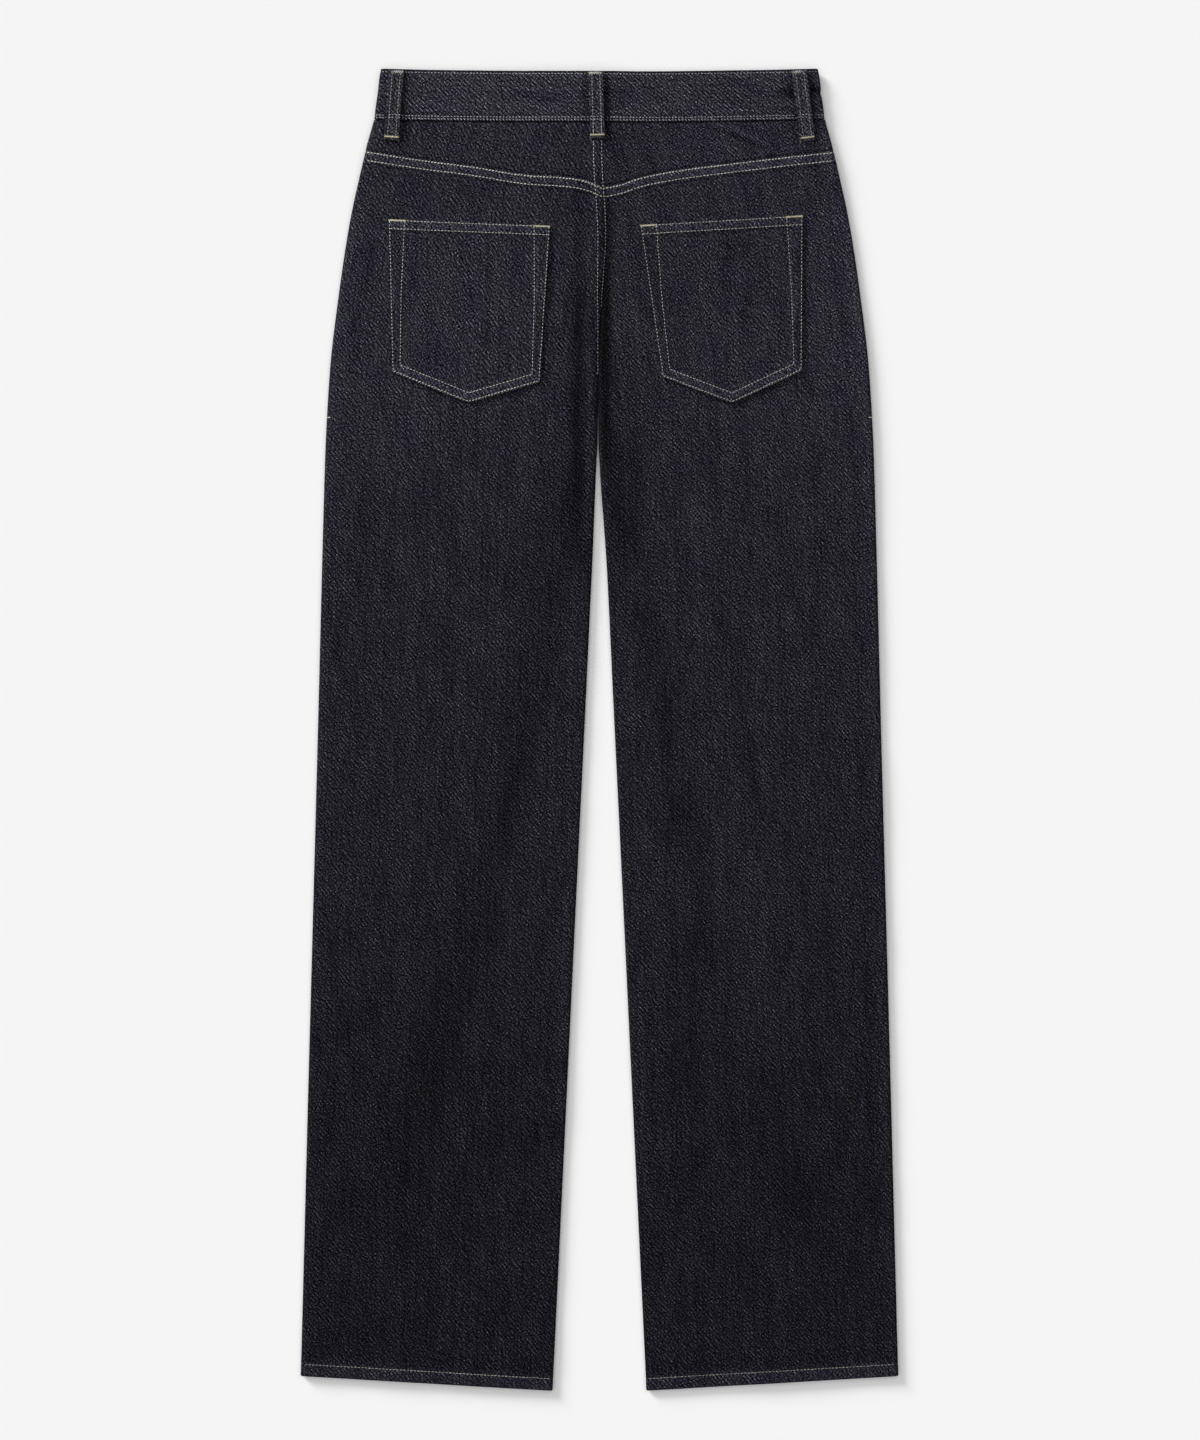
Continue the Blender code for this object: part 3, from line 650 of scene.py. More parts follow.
def panel_grain(side, face, grid, lighter=0.0):
    """Millimetres across and along the cloth, as seen from outside, and its tone, with painted
    shade and painted highlights.
    """
    height, from_side, from_middle = grid.height, grid.from_side, grid.from_middle
    shade = tone(grid.points[..., 0], height, face, BACK_SHADE + POCKET_SHADE)
    # Painted highlight where the cloth turns over at its edges; the hem is drawn paler, partly as
    # painted highlight and partly as wear
    outer = SIDE_HIGHLIGHT[side] * (1.0 - smooth(from_side, 3.0, TURN_REACH))
    inner = INNER_HIGHLIGHT * (1.0 - smooth(from_middle, 2.0, TURN_REACH))
    inner = inner * smooth(-height, 60.0, 220.0) * (1.0 - smooth(-height, 340.0, 440.0))
    above = height - HEM + HEM_DROP * from_side / (from_side + from_middle + 1.0)
    hem = HEM_WEAR_AND_HIGHLIGHT * (1.0 - smooth(above, HEM_DEPTH - 1.0, HEM_DEPTH + 4.0))
    hem = hem - 0.1 * dent(above - 19.0, 4.0)
    shade = shade * (1.0 + outer + inner + hem) * (1.0 + lighter)
    return -side * face * from_side, height, shade


def add_leg_back(side, name):
    below = np.concatenate([HEM_ROWS, ABOVE_HEM, stations(HEM + 15.6, (YOKE_SEAM - 10.0, 342))])
    level = np.concatenate([below, np.full(len(ACROSS_SEAM), YOKE_SEAM)])
    extra = np.concatenate([np.zeros(len(below)), ACROSS_SEAM])
    grid = panel_grid(side, 1, level, extra, BACK_COLUMNS)
    points, detail, cloth = centre_seam(side, grid)
    hem, hem_cloth = hem_detail(grid, level)
    above = grid.height - back_height(side, np.full_like(grid.height, YOKE_SEAM),
                                      grid.from_side / half_shape(side, 1, grid.height).cloth)
    above = np.where(extra[:, None] != 0.0, extra[:, None], above)
    detail = detail + hem + felled(FELL_TOP - above) * smooth(grid.from_side, 0.0, 6.0)
    detail = detail + pucker(points[..., 0], grid.height, above, reach=7.0, seed=43)
    detail = detail - round_off(grid.from_side, SIDE_EDGE_ROUND)
    cloth = np.minimum(cloth, blend(DENIM, -LIES_ON, smooth(above, -0.3, 0.0)))
    cloth = np.where(level[:, None] < HEM + 20.0, hem_cloth, cloth)
    seam_starts = FELL_TOP - FELL_WIDTH
    doubled = DOUBLED_WEAR_AND_HIGHLIGHT * smooth(above, seam_starts, seam_starts + 1.2)
    piece = add_shell("leg_back_" + name, points, detail, cloth,
                      panel_grain(side, 1, grid, doubled), -side, (DENIM_FACE, DENIM_REVERSE))
    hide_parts("back_" + name)


def add_yoke(side, name):
    low = panel_grid(side, 1, np.array([YOKE_SEAM]), SEAM_GAP / 2.0, BACK_COLUMNS)
    high = panel_grid(side, 1, np.array([WAIST_SEAM]), -SEAM_GAP / 2.0, BACK_COLUMNS)
    fixed, share = (part[:, None] for part in YOKE_ROWS)
    height = low.height + fixed + share * (high.height - low.height)
    from_side = BACK_COLUMNS.fixed + BACK_COLUMNS.share * half_shape(side, 1, height).cloth
    points, from_middle = face_points(side, 1, height, from_side)
    grid = Grid(points, from_side, from_middle, height)
    points, detail, cloth = centre_seam(side, grid)
    grid = grid._replace(points=points)
    detail = detail - SEAM_DIP * dent(height - low.height - FELL_TOP - 0.9, 1.0)
    detail = detail - SEAM_DIP * dent(high.height - height, 1.4)
    detail = detail + 0.12 * uneven(points[..., 0], height, 6.0, seed=53)
    detail = detail - round_off(from_side, SIDE_EDGE_ROUND)
    # Painted shadow in a line just under the waistband
    painted_band_shadow = -0.5 * dent(high.height - height, 1.3)
    piece = add_shell("yoke_cloth_" + name, points, detail, cloth,
                      panel_grain(side, 1, grid, painted_band_shadow), -side, (DENIM_FACE, DENIM_REVERSE))
    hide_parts("yoke_" + name)


def scoop_mouth(count):
    """Level, and cloth cut away from the side seam, up a scoop pocket's mouth."""
    angle = np.linspace(math.pi / 2.0, 0.0, count) ** 1.5 / (math.pi / 2.0) ** 0.5
    return WAIST_SEAM - SCOOP_DEEP * np.sin(angle), SCOOP_WIDE * np.cos(angle)


def add_leg_front(side, name):
    below = np.concatenate([HEM_ROWS, ABOVE_HEM,
                            stations(HEM + 17.0, (WAIST_SEAM - SCOOP_DEEP - 2.0, 220))])
    mouth_level, mouth_cut = scoop_mouth(26)
    level = np.concatenate([below, mouth_level])
    cut = np.concatenate([np.zeros(len(below)), mouth_cut])[:, None]
    extra = np.where(level == WAIST_SEAM, -SEAM_GAP / 2.0, 0.0)
    width = half_shape(side, -1, level).cloth[:, None]
    shift = Columns(FRONT_COLUMNS.fixed + cut * (1.0 - FRONT_COLUMNS.share), FRONT_COLUMNS.share)
    height = front_height(side, level[:, None], shift.fixed / width + shift.share) + extra[:, None]
    from_side = shift.fixed + shift.share * half_shape(side, -1, height).cloth
    points, from_middle = face_points(side, -1, height, from_side)
    grid = Grid(points, from_side, from_middle, height)
    detail, cloth = hem_detail(grid, level)
    mouth = np.where(level[:, None] >= mouth_level[0], from_side - cut, math.inf)
    for row in SCOOP_ROWS:
        detail = detail - ROW_DENT * dent(mouth - row, ROW_HALF_WIDTH)
    detail = detail - round_off(np.minimum(mouth, from_side), 0.5)
    piece = add_shell("leg_front_" + name, points, detail, cloth, panel_grain(side, -1, grid),
                      side, (DENIM_FACE, DENIM_REVERSE))
    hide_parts("front_" + name)


def add_facing(side, name):
    """The pocket facing, which shows in the scoop and runs on under its edge."""
    level, cut = scoop_mouth(26)
    cut = np.maximum(cut, 5.7)[:, None]
    t = np.linspace(0.0, 1.0, 34)
    from_side = np.concatenate([np.broadcast_to(SIDE_EDGE[:8], (len(level), 8)),
                                blend(5.2, cut + FACING_UNDER, t)], axis=1)
    width = half_shape(side, -1, level).cloth[:, None]
    extra = np.where(level == WAIST_SEAM, -SEAM_GAP / 2.0, 0.0)[:, None]
    height = front_height(side, level[:, None], from_side / width) + extra
    points, from_middle = face_points(side, -1, height, from_side)
    depth = BENEATH * smooth(from_side, cut - FACING_RISE, cut)
    grid = Grid(points, from_side, from_middle, height)
    detail = -depth - round_off(from_side, SIDE_EDGE_ROUND)
    piece = add_shell("facing_cloth_" + name, points, detail, depth + FACING_CLOTH,
                      panel_grain(side, -1, grid), side, (DENIM_FACE, DENIM_REVERSE))
    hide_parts("facing_" + name)


def add_pocket(side, name):
    """A patch pocket: hemmed at the top, its other edges turned under, drawn in by its rows."""
    outer_top, inner_top, inner_bottom, tip, outer_bottom = map(np.array, POCKETS[side])
    tip_share = (tip[0] - outer_bottom[0]) / (inner_bottom[0] - outer_bottom[0])
    outer_part = stations(0.0, *POCKET_EDGE, (tip_share, 12))
    inner_part = 1.0 - stations(0.0, *POCKET_EDGE, (1.0 - tip_share, 12))[::-1]
    across = np.concatenate([outer_part, inner_part[1:]])
    up = np.concatenate([stations(0.0, (0.003, 1), (0.008, 1), (0.075, 9), (0.11, 3), (0.9, 30)),
                         1.0 - stations(0.09, (0.055, 5), (0.01, 5), (0.003, 2), (0.0, 1))])
    share, rise = np.meshgrid(across, up)
    to_tip = np.clip(share / tip_share, 0.0, 1.0)[..., None]
    from_tip = np.clip((share - tip_share) / (1.0 - tip_share), 0.0, 1.0)[..., None]
    low = outer_bottom + (tip - outer_bottom) * to_tip + (inner_bottom - tip) * from_tip
    high = blend(outer_top, inner_top, share[..., None])
    place = blend(low, high, rise[..., None])
    x, y = place[..., 0], place[..., 1]
    # The tip is turned a little round
    y = y + 0.7 * dent((share - tip_share) * 130.0, 3.0) * (1.0 - rise) ** 6
    wide = np.abs(inner_top[0] - outer_top[0])
    deep = high[..., 1] - low[..., 1]
    from_sides = np.minimum(share, 1.0 - share) * wide
    from_bottom, from_top = rise * deep * 0.95, (1.0 - rise) * deep
    edge = np.minimum(np.minimum(from_sides, from_bottom), from_top)
    turned = np.minimum(from_sides, from_bottom)
    detail = 0.9 * (1.0 - smooth(turned, POCKET_TURNING - 1.5, POCKET_TURNING + 2.0))
    detail = np.maximum(detail, 1.1 * (1.0 - smooth(from_top, POCKET_HEM, POCKET_HEM + 1.6)))
    for row, gone in ((1.3, edge), (POCKET_HEM - 0.6, from_top), (7.6, from_bottom)):
        detail = detail - ROW_DENT * dent(gone - row, ROW_HALF_WIDTH)
    detail = detail + 0.12 * uneven(x, y, 15.0, seed=23) * smooth(edge, 4.0, 14.0)
    detail = detail + 0.22 * uneven(x, y, 5.0, seed=37) * dent(edge - 4.0, 6.0)
    detail = detail - round_off(edge, FOLDED_EDGE)
    points = np.stack([x, y, back_top(x, y) + SEAM_GAP + DENIM], axis=-1)
    doubled = np.maximum(1.0 - smooth(from_bottom, 6.6, 8.2), 1.0 - smooth(from_top, 6.8, 8.4))
    shade = tone(x, y) * (1.02 if side < 0 else 0.93) * (1.0 + DOUBLED_WEAR_AND_HIGHLIGHT * doubled)
    grain = (share * wide * (1.0 if side < 0 else -1.0), rise * deep[:, :1] + 400.0 * side, shade)
    piece = add_shell("pocket_cloth_" + name, points, detail, DENIM + SEAM_GAP - LIES_ON, grain,
                      -side, (DENIM_FACE, DENIM_REVERSE))
    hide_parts("back_pocket_" + name)


def band_path():
    """The waistband's outer face seen from its end, from the overlap's end at centre front
    round the left side, the back and the right side to the underlap: x and height."""
    radius = (BAND_TOP - BAND_BOTTOM) / 2.0
    middle = (BAND_TOP + BAND_BOTTOM) / 2.0
    turn = half_width_at(WAIST_SEAM) - radius
    x = np.linspace(OVERLAP_END, -turn, 46)[:-1]
    runs = [(x, np.full(len(x), BAND_BOTTOM))]
    angle = np.radians(np.linspace(270.0, 90.0, 13))
    runs.append((-turn + radius * np.cos(angle), middle + radius * np.sin(angle)))
    x = np.linspace(-turn, turn, 201)[1:-1]
    runs.append((x, np.full(len(x), BAND_TOP)))
    angle = np.radians(np.linspace(90.0, -90.0, 13))
    runs.append((turn + radius * np.cos(angle), middle + radius * np.sin(angle)))
    x = np.linspace(turn, UNDERLAP_START, 42)[1:]
    runs.append((x, np.full(len(x), BAND_BOTTOM)))
    t = np.linspace(0.0, 1.0, 9)[1:]
    runs.append((UNDERLAP_START - UNDERLAP_RISE * t, BAND_BOTTOM + UNDERLAP_LIFT * smooth(t, 0, 1)))
    x = np.linspace(UNDERLAP_START - UNDERLAP_RISE, UNDERLAP_END, 12)[1:]
    runs.append((x, np.full(len(x), BAND_BOTTOM + UNDERLAP_LIFT)))
    return [np.concatenate(part) for part in zip(*runs)]


def add_waistband():
    x, z = band_path()
    along = np.concatenate([[0.0], np.cumsum(np.hypot(np.diff(x), np.diff(z)))])[:, None]
    edge = stations(0.0, (0.4, 2), (1.0, 2), (2.6, 4))
    up = np.concatenate([edge, stations(3.8, (6.2, 4), (35.6, 13)), BAND_DEEP - edge[::-1]])
    half = half_width_at(WAIST_SEAM)
    x, z = x[:, None], z[:, None]
    back = z > (BAND_TOP + BAND_BOTTOM) / 2.0
    share = np.minimum(np.abs(x) / half, 1.0)
    drop = np.where(back, BACK_WAIST_DROP, FRONT_WAIST_DROP) * (1.0 - share ** 2)
    y = WAIST_SEAM + SEAM_GAP / 2.0 - drop + up
    x = x * SECTIONS.read(y + drop).half_width / half
    # A crease runs over its fold on the wearer's right
    x = x - 0.9 * dent(y - 509.0, 2.4) * smooth(x, 165.0, 178.0)
    flat = smooth(z, BAND_TOP - 2.0, BAND_TOP)
    z = z + flat * back_lift(x, y)
    points = np.stack(np.broadcast_arrays(x, y, z), axis=-1)
    from_edge = np.minimum(up, up[-1] - up)
    detail = 0.22 * smooth(from_edge, 1.6, 9.0) - ROW_DENT * dent(from_edge - 1.8, 1.2)
    from_end = np.minimum(along, along[-1] - along)
    edge_drop, end_drop = round_off(from_edge, THICK_EDGE), round_off(from_end, THICK_EDGE)
    detail = detail + 0.10 * uneven(along, up, 11.0, seed=29) - edge_drop - end_drop
    cloth = WAISTBAND_CLOTH - edge_drop - end_drop
    # Painted shade from the back's folds and belt loops, along the top edge and in a line just
    # above the lower row. Cut along the roll, so that its warp runs round the waist
    shade = (1.0 - crease_lift(BACK_SHADE, x, y) * back) * (1.0 - 0.55 * dent(up[-1] - up, 1.0))
    shade = shade * (1.0 - 0.32 * dent(up - 5.0, 0.8))
    grain = (up, along, shade)
    piece = add_shell("waistband_cloth", points, detail, cloth, grain, -1,
                      (BAND_DENIM, BAND_DENIM))
    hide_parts("waistband")


def add_loop_cloth(name, points, detail, grain, outward):
    piece = add_shell(name + "_cloth", points, detail, LOOP_CLOTH, grain, outward,
                      (LOOP_DENIM, LOOP_DENIM))
    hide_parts(name)


LOOP_ACROSS = stations(-0.5, (-0.47, 2), (-0.42, 2), (-0.3, 3), (0.3, 6), (0.42, 3), (0.47, 2),
                       (0.5, 2))
LOOP_ALONG = stations(0.0, (0.008, 1), (0.02, 1), (0.06, 3), (0.94, 30), (0.98, 3), (0.992, 1),
                      (1.0, 1))


def loop_detail(across, along):
    """A folded strip's rounded edges and the hollows of its two rows of stitches."""
    from_edge = (0.5 - np.abs(across)) * LOOP_WIDTH
    from_end = np.minimum(along, 1.0 - along) * LOOP_LENGTH
    detail = 0.2 * smooth(from_edge, 1.5, 4.0) - ROW_DENT * dent(from_edge - 2.8, ROW_HALF_WIDTH)
    return detail - round_off(np.minimum(from_edge, from_end), 0.8)


def add_back_loop(loop):
    """A strip sewn down at both ends, standing proud between them."""
    across, along = LOOP_ACROSS[None, :], LOOP_ALONG[:, None]
    lean = (loop.bottom[0] - loop.top[0]) / (loop.top[1] - loop.bottom[1])
    x = blend(loop.top[0], loop.bottom[0], along) + across * LOOP_WIDTH
    y = blend(loop.top[1], loop.bottom[1], along) + lean * across * along * LOOP_WIDTH
    shift = across * LOOP_WIDTH
    under = blend(back_top(loop.top[0] + shift, np.full_like(shift, loop.top[1])),
                  back_top(loop.bottom[0] + shift, np.full_like(shift, loop.bottom[1])), along)
    arch = LOOP_ARCH * np.abs(np.sin(math.pi * along)) ** 0.7
    sag = 0.25 * uneven(along * LOOP_LENGTH, shift, 14.0, seed=31) * np.sin(math.pi * along)
    points = np.stack([x, y, under + SEAM_GAP + arch + sag + LOOP_CLOTH], axis=-1)
    grain = (shift, y, np.full(points.shape[:2], 1.0))
    add_loop_cloth(loop.name, points, loop_detail(across, along), grain, -1)


def front_loop_top():
    """How high a front loop reaches, just below the waistband's curved upper edge."""
    share = FRONT_LOOP_X / half_width_at(WAIST_SEAM)
    return TOP - FRONT_WAIST_DROP * (1.0 - share ** 2) - 1.0


def add_front_loop(name, side):
    across, along = LOOP_ACROSS[None, :], LOOP_ALONG[:, None]
    x = side * FRONT_LOOP_X + across * LOOP_WIDTH + 0.0 * along
    y = front_loop_top() - LOOP_LENGTH * along + 0.0 * across
    points = np.stack([x, y, np.full(x.shape, FRONT_CLEAR)], axis=-1)
    grain = (-x, y, np.full(x.shape, 1.0))
    add_loop_cloth(name, points, loop_detail(across, along), grain, 1)


# ---- Sewing

# No two stitches are quite alike: in length by a share, turned by degrees, off the line by mm
STITCH_LENGTH_VARIES = 0.06
STITCH_TURNS = 2.5
STITCH_STRAYS = 0.06
ZIGZAG_LEAN = 0.45
Stitch = namedtuple("Stitch", "start end out")
chance = np.random.default_rng(41)


class Sewing:
    """Stitches by kind, each laid on the outermost cloth where it falls."""

    def __init__(self, kinds):
        points, faces = [], []
        for piece in cloth_pieces.values():
            count = len(points)
            points += [vertex.co / METRES_PER_MM for vertex in piece.data.vertices]
            faces += [[count + i for i in face.vertices] for face in piece.data.polygons]
        self.cloth = BVHTree.FromPolygons(points, faces)
        self.kinds = {kind: [] for kind in kinds}

    def feel(self, place, face):
        """The outermost cloth above or below a place, and the way that it faces."""
        far = Vector((*place, face * 100.0))
        spot, out, _, _ = self.cloth.ray_cast(far, Vector((0, 0, -face)))
        if spot is None:
            return None
        return spot, out if out.z * face > 0.0 else -out

    def lay(self, kind, places, face, longest=math.inf):
        """One stitch between two places, if both are on cloth and no step parts them."""
        ends = [self.feel(place, face) for place in places]
        if None in ends:
            return
        (start, out_start), (end, out_end) = ends
        if (end - start).length < longest:
            self.kinds[kind].append(Stitch(start, end, (out_start + out_end).normalized()))

    def row(self, kind, line, face=1, pitch=3.1, gap=1.15, slant=0.0):
        """Stitches along a line of places."""
        line = np.array(line, float)
        gone = np.concatenate([[0.0], np.cumsum(np.hypot(*np.diff(line, axis=0).T))])
        count = max(int(round(gone[-1] / pitch)), 1)
        step = gone[-1] / count
        for number in range(count):
            middle = (number + 0.5) * step
            varies = chance.uniform(-STITCH_LENGTH_VARIES, STITCH_LENGTH_VARIES)
            reach = (step - gap) / 2.0 * (1.0 + varies)
            ahead, behind = (np.array([np.interp(middle + way * step / 2.0, gone, line[:, axis])
                                       for axis in (0, 1)]) for way in (1, -1))
            way = (ahead - behind) / max(np.hypot(*(ahead - behind)), 1e-6)
            angle = math.radians(slant + chance.normal(0.0, STITCH_TURNS))
            way = np.array([way[0] * math.cos(angle) - way[1] * math.sin(angle),
                            way[0] * math.sin(angle) + way[1] * math.cos(angle)])
            centre = (ahead + behind) / 2.0 + chance.normal(0.0, STITCH_STRAYS, 2)
            self.lay(kind, (centre - way * reach, centre + way * reach), face, 3.0 * reach)

    def bar(self, kind, start, end, width=2.0, face=1, pitch=0.55):
        """A short bar of close zigzag."""
        start, end = np.array(start, float), np.array(end, float)
        long = np.hypot(*(end - start))
        way = (end - start) / long
        square = np.array([-way[1], way[0]])
        count = int(round(long / pitch))
        for number in range(count + 1):
            centre = blend(start, end, number / count)
            across = square * width / 2.0 + way * (ZIGZAG_LEAN if number % 2 else -ZIGZAG_LEAN)
            self.lay(kind, (centre - across, centre + across), face)


# Along a stitch: how far on, how thick and how high off the cloth, and how light, as shares.
# Its ends are pulled down into the needle holes, and are painted dark there as shade.
STITCH_RINGS = ((0.0, 0.5, -0.3, 0.0), (0.2, 0.8, 0.2, 0.9), (0.5, 1.0, 0.45, 1.1),
                (0.8, 0.8, 0.2, 0.9), (1.0, 0.5, -0.3, 0.0))
STITCH_SIDES = 6
STITCH_LIGHT = (0.66, 1.3)
RIGHT_DULLER = 0.24


def add_stitches(name, stitches, thread, width, height):
    """Thread laid over the cloth, all of one kind in one mesh."""
    start = np.array([stitch.start for stitch in stitches])
    end = np.array([stitch.end for stitch in stitches])
    out = np.array([stitch.out for stitch in stitches])
    way = end - start
    long = np.linalg.norm(way, axis=1)
    square = np.cross(out, way / long[:, None])
    # Some stitches are lighter than others, those on the wearer's right lie duller, and those
    # in a deep fold are painted dark with the fold's shade
    light = chance.uniform(*STITCH_LIGHT, len(long))
    light = light * (1.0 - RIGHT_DULLER * smooth(start[:, 0], 0.0, 120.0))
    light = light * (1.0 - crease_lift(BACK_SHADE, start[:, 0], start[:, 1]) * (out[:, 2] > 0.0))
    around = np.linspace(0.0, 2.0 * math.pi, STITCH_SIDES, endpoint=False)
    rings, twist = [], []
    for on, thick, lift, bright in STITCH_RINGS:
        centre = start + way * on + out * (lift * height)
        ring = [centre + (square * math.cos(a) * width / 2.0 + out * math.sin(a) * height) * thick
                for a in around]
        rings.append(np.stack(ring, axis=1))
        twist.append(np.stack([np.stack([on * long, np.full(len(long), a / (2.0 * math.pi)),
                                         light * bright], axis=-1) for a in around], axis=1))
    points = np.stack(rings, axis=1)
    each = len(STITCH_RINGS) * STITCH_SIDES
    faces = []
    for ring in range(len(STITCH_RINGS) - 1):
        for side in range(STITCH_SIDES):
            after = (side + 1) % STITCH_SIDES
            low, high = ring * STITCH_SIDES, (ring + 1) * STITCH_SIDES
            faces.append([low + side, low + after, high + after, high + side])
    for low, order in ((0, (0, 3, 2, 1)), (each - STITCH_SIDES, (0, 1, 2, 3))):
        faces.append([low + corner for corner in order])
        faces.append([low + (corner + 3) % STITCH_SIDES for corner in order])
    faces = np.concatenate([np.array(faces) + number * each for number in range(len(stitches))])
    add_mesh(name, points.reshape(-1, 3), faces, [thread],
             twist=np.stack(twist, axis=1).reshape(-1, 3))


def line_across(side, face, level, share, above=0.0):
    """Places across a panel at a level, by share of the way in, and this far above the line."""
    level = np.full(len(share), level)
    shape = half_shape(side, face, level)
    height_of = back_height if face > 0 else front_height
    x = side * blend(shape.outer, shape.inner, share)
    return np.stack([x, height_of(side, level, share) + above], axis=-1)


def front_line(side, level, from_side):
    """Places on the front's outer face at these levels and distances from the side seam."""
    level, from_side = np.broadcast_arrays(np.asarray(level, float), np.asarray(from_side, float))
    width = half_shape(side, -1, level).cloth
    height = front_height(side, level, from_side / width)
    points, _ = face_points(side, -1, height, from_side)
    return points[..., :2]


def centre_x(y, into):
    """x of a row this far in from the folded edge of the centre back seam."""
    edge = SECTIONS.read(y).back_seam + overhang(y) - SEAM_GAP / 2.0
    return edge - into * seam_share(y)


def inside_corner(before, corner, after, from_first, from_second):
    """Where two lines cross that run inside a corner's two edges, at these distances."""
    before, corner, after = (np.array(place, float) for place in (before, corner, after))
    first, second = corner - before, after - corner
    first, second = first / np.hypot(*first), second / np.hypot(*second)
    turn = first[0] * second[1] - first[1] * second[0]
    inward = 1.0 if turn > 0.0 else -1.0
    base_one = before + inward * from_first * np.array([-first[1], first[0]])
    base_two = corner + inward * from_second * np.array([-second[1], second[0]])
    gap = base_two - base_one
    reach = (gap[0] * second[1] - gap[1] * second[0]) / turn
    return base_one + first * reach


def sew_yoke(sewing, side):
    """A fat row along the yoke seam's folded edge, a finer one below it, and pale dashes of weft
    and painted highlight along the fold.
    """
    share = np.linspace(0.012, 1.0, 60)
    for kind, into, pitch, gap, slant in (
            ("stitches_seam_edges", FELL_ROWS[0], 2.6, 0.4, 16.0),
            ("stitches_seams", FELL_ROWS[1], 2.8, 0.45, 5.0),
            ("weft_and_highlight_at_edges", 0.15, 1.9, 0.8, 50.0)):
        line = line_across(side, 1, YOKE_SEAM, share, FELL_TOP - into)
        sewing.row(kind, line, pitch=pitch, gap=gap, slant=slant)


# How far the rows of stitches round a pocket run in from its edges
PocketRow = namedtuple("PocketRow", "at_top at_bottom low")
OUTER_ROW = PocketRow(1.3, 1.3, 1.4)
INNER_ROW = PocketRow(13.4, 7.0, 7.8)
POCKET_TACK = 13.0
POCKET_MIDDLE = 90.0


def sew_pocket(sewing, side):
    """Two rows round a pocket, two across its hem, pale dashes of weft and painted highlight along
    its lower edges, and a bar tack at each top corner."""
    pocket = POCKETS[side]
    corners = [pocket.outer_top, pocket.outer_bottom, pocket.tip, pocket.inner_bottom,
               pocket.inner_top]

    def inset(number, *distances):
        return inside_corner(corners[number - 1], corners[number], corners[(number + 1) % 5],
                             *distances)

    for row in (OUTER_ROW, INNER_ROW):
        line = [inset(0, 1.2, row.at_top), inset(1, row.at_bottom, row.low),
                inset(2, row.low, row.low), inset(3, row.low, row.at_bottom),
                inset(4, row.at_top, 1.2)]
        for start, end in zip(line, line[1:]):
            if abs(end[1] - start[1]) > abs(end[0] - start[0]):
                # The inner row runs in from the bar tack, then keeps beside the edge
                bow = side if abs(start[0]) > POCKET_MIDDLE else -side
                middle = blend(start, end, 0.5) + np.array([bow, 0.0]) * (row is INNER_ROW)
                sewing.row("stitches_pockets", [start, middle, end], pitch=2.75, gap=0.9)
            elif row is INNER_ROW:
                sewing.row("stitches_pockets", [start, end], pitch=2.75, gap=0.5)
            else:
                sewing.row("stitches_pockets", [start, end], pitch=2.7, gap=0.4, slant=14.0)
                out = np.array([0.0, -0.9])
                sewing.row("weft_and_highlight_at_edges", [start + out, end + out], pitch=1.9, gap=0.8,
                           slant=50.0)
    for low in (OUTER_ROW.at_top, POCKET_HEM - 0.6):
        sewing.row("stitches_pockets", [inset(0, low, 1.3), inset(4, 1.3, low)], pitch=2.7,
                   gap=0.45)
    for top, along in ((pocket.outer_top, pocket.inner_top), (pocket.inner_top, pocket.outer_top)):
        start, toward = np.array(top), np.array(along) - np.array(top)
        toward = toward / np.hypot(*toward)
        start = start + toward * 1.0 + np.array([0.0, -1.3])
        sewing.bar("bar_tacks", start, start + toward * POCKET_TACK, 1.9)


def sew_hems(sewing, side):
    share = np.linspace(0.015, 0.985, 60)
    for face in (1, -1):
        line = line_across(side, face, HEM + HEM_DEPTH - 0.4, share)
        sewing.row("stitches_hems", line, face, pitch=2.8, gap=0.25)


def sew_front(sewing, side):
    """The side seam's row, which ends at the hip in two tacks, and the scoop's two rows."""
    hip = 250.0
    sewing.row("stitches_seams", front_line(side, np.linspace(hip, 412.0, 30), 6.0), -1)
    sewing.bar("bar_tacks", *front_line(side, [hip - 1.0, hip + 6.0], 2.0), 2.0, -1)
    edge = side * half_width_at(hip)
    sewing.bar("bar_tacks", (edge - side * 2.6, hip), (edge - side * 0.3, hip), 1.1)
    angle = np.linspace(math.pi / 2.0, 0.02, 40)
    for off in SCOOP_ROWS:
        level = WAIST_SEAM - (SCOOP_DEEP + off) * np.sin(angle)
        cut = np.maximum((SCOOP_WIDE + off) * np.cos(angle), 5.0)
        sewing.row("stitches_seams", front_line(side, level, cut), -1)


def sew_middle(sewing):
    """Two rows each on the centre back seam, the front crotch seam and the fly, whose rows
    bend in to a tack."""
    for into, low in zip(FELL_ROWS, (338.0, 284.0)):
        y = np.linspace(low, 488.0, 60)
        line = np.stack([centre_x(y, into), y], axis=-1)
        sewing.row("stitches_centre_seam", line, pitch=2.75, gap=0.9)
        sewing.row("stitches_seams", [(1.0 - into, 246.0), (1.0 - into, 322.0)], -1)
    fly_edge, bend_starts = 1.5, 356.0
    for off in (0.0, 6.0):
        wide, deep = 38.0 - off, 34.0 - off
        turn = np.radians(np.linspace(0.0, 84.0, 16))
        bend = zip(fly_edge - wide * np.cos(turn), bend_starts - deep * np.sin(turn))
        sewing.row("stitches_seams", [(fly_edge - wide, 462.0), *bend], -1)
    sewing.bar("bar_tacks", (-4.0, 322.0), (-13.0, 324.0), 2.0, -1)


